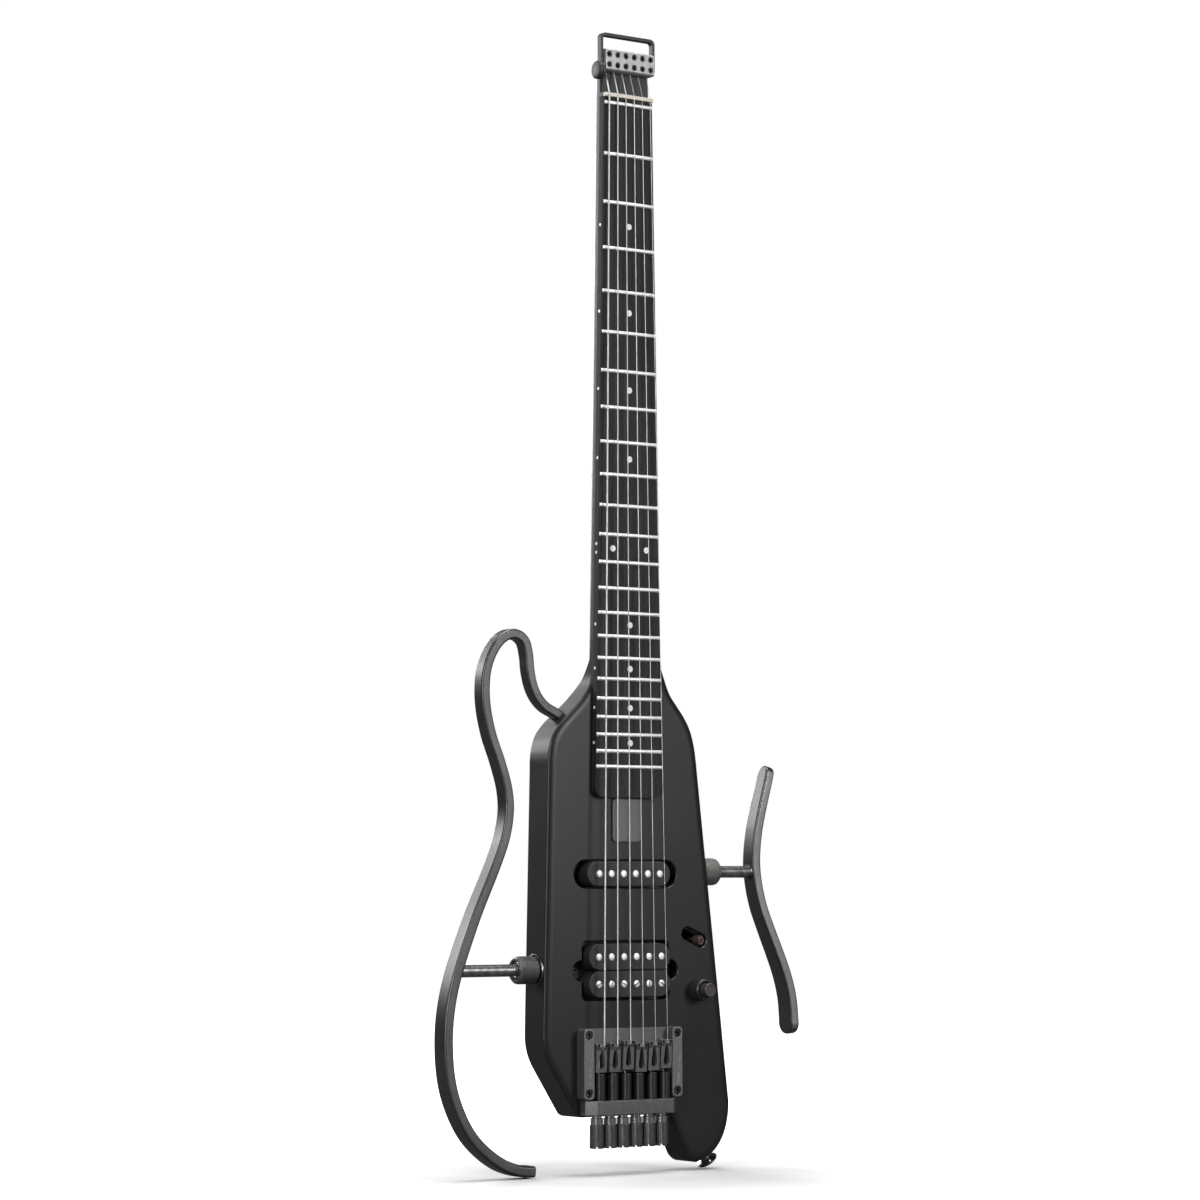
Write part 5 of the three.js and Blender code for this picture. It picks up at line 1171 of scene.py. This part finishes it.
def pickups():
    s, h = single, humbucker
    coilCover("singleCover", s, -s["mid"], 1.0, "single_coil")
    floor, top = face + s["deep"], face + h["deep"] + gap
    ears = slab(stadium(s["ear"], s["earTall"], -s["mid"]), floor - 1.6, floor - 0.02, 0.2)
    piece(ears, "singleEars", "dark", slot="coil_plastic")
    poleRow("singlePoles", s, -s["mid"])
    for side, name, node in ((1, "upperCoil", "humbucker_upper_coil"), (-1, "lowerCoil", "humbucker_lower_coil")):
        mid = -h["mid"] + side * (h["tall"] + h["gap"]) / 2
        coilCover(name, h, mid, 0.7, node)
        poleRow(name + "Poles", h, mid, side < 0)
    tall = (2 * h["tall"] + h["gap"]) / 2
    plate = slab(rounded(-h["half"], h["half"], -h["mid"] - tall, -h["mid"] + tall, 4), top, top + h["plate"], 0.2)
    ears = slab(stadium(h["ear"], h["earTall"], -h["mid"]), top + 0.01, top + h["plate"] - 0.01)
    combined(plate, [ears], "UNION")
    piece(plate, "coilPlate", "dark", "humbucker_plate")
    spots = [(side * (s["ear"] - 3.7), floor - 3, -s["mid"]) for side in (-1, 1)]
    spots += [(side * (h["ear"] - 4), top - 1.4, -h["mid"]) for side in (-1, 1)]
    piece(together([hexScrew(2.6, 1.0, 0.9, 1.5, "y", spot) for spot in spots]), "earScrews", "screw")


def plaque():
    p = plain
    plan = rounded(-p["half"], p["half"], p["low"], p["high"], p["corner"], 8)
    piece(slab(plan, face - p["thick"], face, 0.35), "plainPlaque", "plaque", "plaque")


pickups()
plaque()
print("pickups:", len(made))


# Rings of the lever, which stands along Y at its pivot and swings towards the lower end of the slot
def leverRings(profile):
    swing, pivot = radians(selector["swing"]), face + selector["pivot"]
    rings = []
    for radius, along in profile:
        ring = []
        for a, b in circle(max(radius, thin), 36):
            x, z = onSlot(a * cos(swing) - along * sin(swing), b)
            ring.append((x, a * sin(swing) + along * cos(swing) + pivot, z))
        rings.append(ring)
    return rings


def selectorLever():
    s = selector
    front, r = -(s["pivot"] + s["rise"]), s["radius"]
    capEnd = front + s["cap"]
    lever = leverRings([(0, front + 0.35), (r - 1.5, front + 0.3), (r - 1.2, front), (r - 0.6, front),
                        (r - 0.15, front + 0.35), (r, front + 0.8), (r, capEnd), (1.1, capEnd), (1.1, 0)])
    piece(loft(lever), "selectorCap", "cap", "selector_lever", body="selector_lever")
    # A thin ring on the cap's face, painted pale pink as the highlight round its rim
    proud, sunk = front - 0.03, front + 0.2
    ring = leverRings([(r - 1.5, sunk), (r - 1.3, proud), (r - 0.75, proud), (r - 0.5, sunk)])
    piece(loft([*ring, ring[0]], False), "capPaintedHighlight", "capPaintedHighlight", body="selector_lever")


def knobPair():
    k = knobs
    front, back, centre = face - k["tall"], face - gap, (k["across"], 0, -k["down"])
    r, well, floor, sleeve, shaft = k["radius"], k["well"], front + k["wellDeep"], k["sleeve"], k["shaft"]
    ring = knurled([(well, floor, 0), (well, front + 0.4, 0), (well + 0.4, front, 0), (r - 0.9, front, 0),
                    (r - 0.25, front + 0.6, 0), (r, front + 1, 1), (r, back - 0.5, 1), (r - 0.4, back, 0),
                    (sleeve, back, 0), (sleeve, back + 4, 0), (k["bore"], back + 4, 0), (k["bore"], floor, 0)],
                   "y", centre, 26, 0.35)
    piece(ring, "outerKnob", "knob", "outer_knob", body="outer_knob")
    tip, s = front - k["stemRise"], k["stem"]
    stem = knurled([(0, tip + 0.25, 0), (s - 1.4, tip + 0.25, 0), (s - 1.1, tip, 0), (s - 0.5, tip, 0),
                    (s, tip + 0.5, 1), (s, floor - 1, 1), (s - 0.3, floor - gap, 0), (shaft, floor - gap, 0),
                    (shaft, back + 4, 0), (0, back + 4, 0)], "y", centre, 20, 0.2)
    piece(stem, "innerKnob", "stem", "inner_knob", body="inner_knob")


def backCover():
    c, back = controls, guitar["back"]
    corners = cavityOutline(-(c["lip"] - 1.9))  # the screws stand on the cavity's rim
    plate = slab(cavityOutline(-c["lip"] + gap), back - c["cover"], back, 0.3)
    combined(plate, [turned([(1.7, back - 0.6), (1.9, back + 1)], "y", (x, 0, z), 20) for x, z in corners])
    piece(plate, "backCover", "cover", "back_cover")
    screws = [hexScrew(1.6, 0.7, 0.6, 0.5, "y", (x, back - 0.15, z), -1) for x, z in corners]
    piece(together(screws), "coverScrews", "screw")


def outputJack():
    j = jack
    near, mid = j["seat"] + gap, (0, barMid, -j["down"])
    top = near + j["thick"]
    plate = slab(jackOutline(0), near, top, 0.4, plan="side")
    combined(plate, [bore(j["barrel"], j["seat"] - 22, near + 0.4, "x", mid, 32)], "UNION")
    ends = [-j["down"] + side * j["screwsApart"] / 2 for side in (-1, 1)]
    holes = [bore(j["bore"], j["seat"] - 18, top + 3, "x", mid, 32)]
    holes += [turned([(1.9, top - 0.6), (2.1, top + 1)], "x", (0, barMid, z), 20) for z in ends]
    combined(plate, holes)
    piece(plate, "jackPlate", "dark", "output_jack")
    nut = [(j["bore"], near + 0.9), (j["bore"], top + 0.9), (4.8, top + 0.9), (5.2, top + 0.4), (5.2, near + 0.9)]
    piece(turned(nut, "x", mid, 6), "jackNut", "neckPin")
    screws = [hexScrew(1.7, 0.7, 0.6, 0.5, "x", (top - 0.2, barMid, z), -1) for z in ends]
    piece(together(screws), "jackScrews", "screw")


lowButton = {"across": 74.742, "down": 735.849, "turn": 36.026, "head": 7.8, "tall": 8.5, "waist": 3.4, "foot": 5,
             "pin": 1.9, "pinLong": 10}


def strapButton():
    b = lowButton
    turn, pin, foot, waist, head, tall = radians(b["turn"]), b["pin"], b["foot"], b["waist"], b["head"], b["tall"]
    profile = [(0, -b["pinLong"]), (pin, -b["pinLong"]), (pin, gap), (foot - 0.3, gap), (foot, 0.6), (foot - 0.4, 1.3),
               (waist + 0.9, 2), (waist + 0.3, 2.8), (waist, 3.8), (waist + 0.2, 4.9), (waist + 1.2, 5.6),
               (head - 0.7, 6), (head - 0.1, 6.4), (head, 6.9), (head - 0.2, 7.5), (head - 1.2, 8.2),
               (head - 2.6, tall), (2.6, tall), (2.2, tall - 0.7), (0, tall - 0.9)]
    rings = []
    for radius, along in profile:  # along the button's own axis, which leans out from straight down
        rings.append([(b["across"] + a * cos(turn) + along * sin(turn), barMid + c,
                       -b["down"] + a * sin(turn) - along * cos(turn)) for a, c in circle(max(radius, thin), 40)])
    piece(loft(rings), "strapButton", "button", "lower_strap_button")


selectorLever()
knobPair()
backCover()
outputJack()
strapButton()
print("controls:", len(made))

# Frames, rods, collars and bushings

waist = {
    "side": -1, "word": "bass", "top": 375.9, "tall": 366.6, "reach": 141.2, "thick": (6.8, 7.8), "deep": (9.4, 16),
    "noses": (0.3, 1.2), "clear": 383.3, "inner": 19.5, "shares": [
        (0.312, 0.156), (0.368, 0.145), (0.426, 0.134), (0.469, 0.118), (0.499, 0.097), (0.519, 0.067),
        (0.528, 0.037), (0.547, 0.013), (0.583, 0.002), (0.627, 0), (0.676, 0.008), (0.729, 0.03), (0.769, 0.064),
        (0.782, 0.101), (0.775, 0.142), (0.744, 0.191), (0.694, 0.24), (0.654, 0.29), (0.645, 0.33), (0.667, 0.379),
        (0.719, 0.43), (0.852, 0.54), (0.973, 0.67), (0.999, 0.764), (0.966, 0.854), (0.86, 0.932), (0.705, 0.981),
        (0.581, 0.998), (0.504, 1)]}
rest = {
    "side": 1, "word": "treble", "top": 463.3, "tall": 191.3, "reach": 153.2, "thick": (7.4, 7.4), "deep": (11.4, 16.2),
    "noses": None, "shares": [
        (0.878, 0), (0.856, 0.064), (0.824, 0.153), (0.796, 0.245), (0.782, 0.349), (0.79, 0.429), (0.818, 0.52),
        (0.864, 0.609), (0.914, 0.697), (0.959, 0.785), (0.987, 0.871), (1, 1)]}


# Rounded oblong section of a bar, pulled in by "inset" at its ends
def barSection(thick, deep, inset=0, steps=5):
    r = 0.25 * thick
    reach, shrink = max(r - inset, 0.1), max(inset - r, 0)
    a, b = max(thick / 2 - r - shrink, 0), max(deep / 2 - r - shrink, 0)
    ring = []
    for q, (x, y) in enumerate(((a, b), (-a, b), (-a, -b), (a, -b))):
        ring += [(x + reach * cos(turn), y + reach * sin(turn)) for turn in arc(q * pi / 2, (q + 1) * pi / 2, steps)]
    return ring


def barPath(form):
    return through([(form["side"] * form["reach"] * out, barMid, -form["top"] - down * form["tall"])
                    for out, down in form["shares"]], 8)


def bentBar(form):
    path = barPath(form)
    along = [0.0]
    for a, b in zip(path, path[1:]):
        along.append(along[-1] + (b - a).length)
    total, last = along[-1], len(path) - 1

    def section(centre, ahead, thick, deep, inset=0):
        across = Vector((-ahead.z, 0, ahead.x))
        return [tuple(centre + across * a + Vector((0, b, 0))) for a, b in barSection(thick, deep, inset)]

    def ring(k, push=0, inset=0):
        # at path point k, pushed along the bar
        ahead = (path[min(k + 1, last)] - path[max(k - 1, 0)]).normalized()
        thick, deep = (low + (high - low) * along[k] / total for low, high in (form["thick"], form["deep"]))
        return section(path[k] + ahead * push, ahead, thick, deep, inset)

    def noseRing(s, radius, fromEnd):
        # at length s from one end, where the bar's depth closes in a half circle
        far = total - s if fromEnd else s
        k = max(1, next((n for n, length in enumerate(along) if length >= far), last))
        centre = path[k - 1].lerp(path[k], (far - along[k - 1]) / (along[k] - along[k - 1]))
        half = sqrt(max(0, radius * radius - (radius - s) ** 2))
        thick = form["thick"][0] - 2 * max(0, 1.1 - s) * 0.8
        return section(centre, (path[k] - path[k - 1]).normalized(), thick, max(2 * half, 0.55 * thick))

    margins = [1.6 * nose for nose in form["noses"]] if form["noses"] else [deep / 2 for deep in form["deep"]]
    middle = [ring(k) for k in range(len(path)) if margins[0] < along[k] < total - margins[1]]
    caps = []
    for end in (0, 1):
        if form["noses"]:
            nose = form["noses"][end]
            caps.append([ring(end * last, (1 - 2 * end) * nose * (1 - sin(t)), nose * (1 - cos(t)))
                         for t in arc(0.46 * pi, 0, 5)])
        else:
            radius = form["deep"][end] / 2
            caps.append([noseRing(radius * (1 - cos(t)), radius, end) for t in arc(0.2, pi / 2, 9)])
    return loft(caps[0] + middle + caps[1][::-1])


# How far out the bar's middle is where its rod meets it
def reachAt(form, down):
    outside = [p for p in barPath(form) if abs(p.x) > woodBody["bassHalf"]]
    return abs(min(outside, key=lambda p: abs(p.z + down)).x)


def rodAndCollar(form, name, nodes):
    r, side = rods, form["side"]
    wall, down = r[form["word"] + "Wall"], r[form["word"] + "Down"]
    body, collarNode, mid, reach = nodes + "_assembly", nodes + "_collar", (0, barMid, -down), reachAt(form, down)

    def lathe(profile, sides=40):
        return turned([(radius, side * along) for radius, along in profile], "x", mid, sides)

    radius, deep, tip = r["radius"], wall - r["deep"], reach - 1
    rod = lathe([(0, deep), (radius - 0.5, deep), (radius, deep + 0.5), (radius, tip), (0, tip)])
    piece(rod, name + "Rod", "rod", nodes + "_rod", body=body)
    if form is rest:
        near = reach - form["thick"][0] / 2 - 0.9
        far, inner = near + 1.6, radius - 0.1
        ferrule = lathe([(inner, near), (radius + 0.9, near), (radius + 1.2, near + 0.3), (radius + 1.2, far),
                         (inner, far), (inner, near)])
        piece(ferrule, "restFerrule", "bushing", body=body, slot="frame_metal")
    hole, flange, neck = radius + gap, r["flange"], r["neck"]
    near = wall + gap
    top = near + r["flangeThick"]
    end = top + r["neckLong"]
    bushing = lathe([(hole, near), (flange - 0.2, near), (flange, near + 0.2), (flange, top - 0.4), (flange - 0.4, top),
                     (neck, top), (neck, end), (hole, end), (hole, near)], 48)
    piece(bushing, name + "Bushing", "bushing", nodes + "_bushing")
    start, c, inner = top + gap, r["collar"], neck + gap
    end, shelf = start + r["collarLong"], start + 9.9
    profile = [(inner, start, 0), (c - 0.9, start, 0), (c - 0.3, start + 0.5, 0), (c - 0.3, start + 1.1, 0),
               (c, start + 1.4, 1), (c, end - 2.6, 1), (c - 0.3, end - 2.3, 0), (c - 0.3, end - 1.4, 0),
               (c - 1.6, end, 0), (hole + 2.3, end, 0), (hole + 1.9, end - 0.5, 0), (hole + 1.7, end - 1.4, 0),
               (hole, end - 1.4, 0), (hole, shelf, 0), (inner, shelf, 0), (inner, start, 0)]
    grip = knurled([(size, side * along, share) for size, along, share in profile], "x", mid, 40, 0.12)
    piece(grip, name + "Collar", name + "Collar", collarNode, body=collarNode)
    washer = lathe([(hole, end - 1.3), (hole + 1.5, end - 1.3), (hole + 1.5, end - 1), (hole + 1.1, end - 0.7),
                    (hole + 0.3, end - 0.7), (hole, end - 0.9), (hole, end - 1.3)])
    piece(washer, name + "Washer", "neckPin", body=collarNode)


def waistFrame():
    w, r = waist, rods
    bar = bentBar(w)
    clear, half, inner = w["clear"] - gap * sqrt(2), woodBody["bassHalf"], w["inner"]
    inBody = [(-inner, -clear - inner), (-half, -clear - half), (-inner, -clear - half)]
    combined(bar, [slab(inBody, barMid - 16, barMid + 16)])
    peg, pegIn, pegOut = r["peg"], -r["pegIn"], -r["pegOut"]
    combined(bar, [turned([(0, pegOut), (peg, pegOut), (peg, pegIn - 0.5), (peg - 0.5, pegIn), (0, pegIn)],
                          "x", (0, barMid, -r["pegDown"]), 24)], "UNION")
    piece(bar, "waistBar", "waistBar", "waist_frame", body="waist_assembly", sharp=40)


waistFrame()
piece(bentBar(rest), "legRestBar", "restBar", "leg_rest", body="leg_rest_assembly", sharp=40)
rodAndCollar(waist, "waist", "waist")
rodAndCollar(rest, "rest", "leg_rest")
print("frames:", len(made))

# What stays of the layout shows only through openings
for node in ("potentiometer", "selector_switch"):
    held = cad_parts[node].data.materials
    held.clear()
    held.append(finishes["dark"][0])

print("pieces:", len(made))
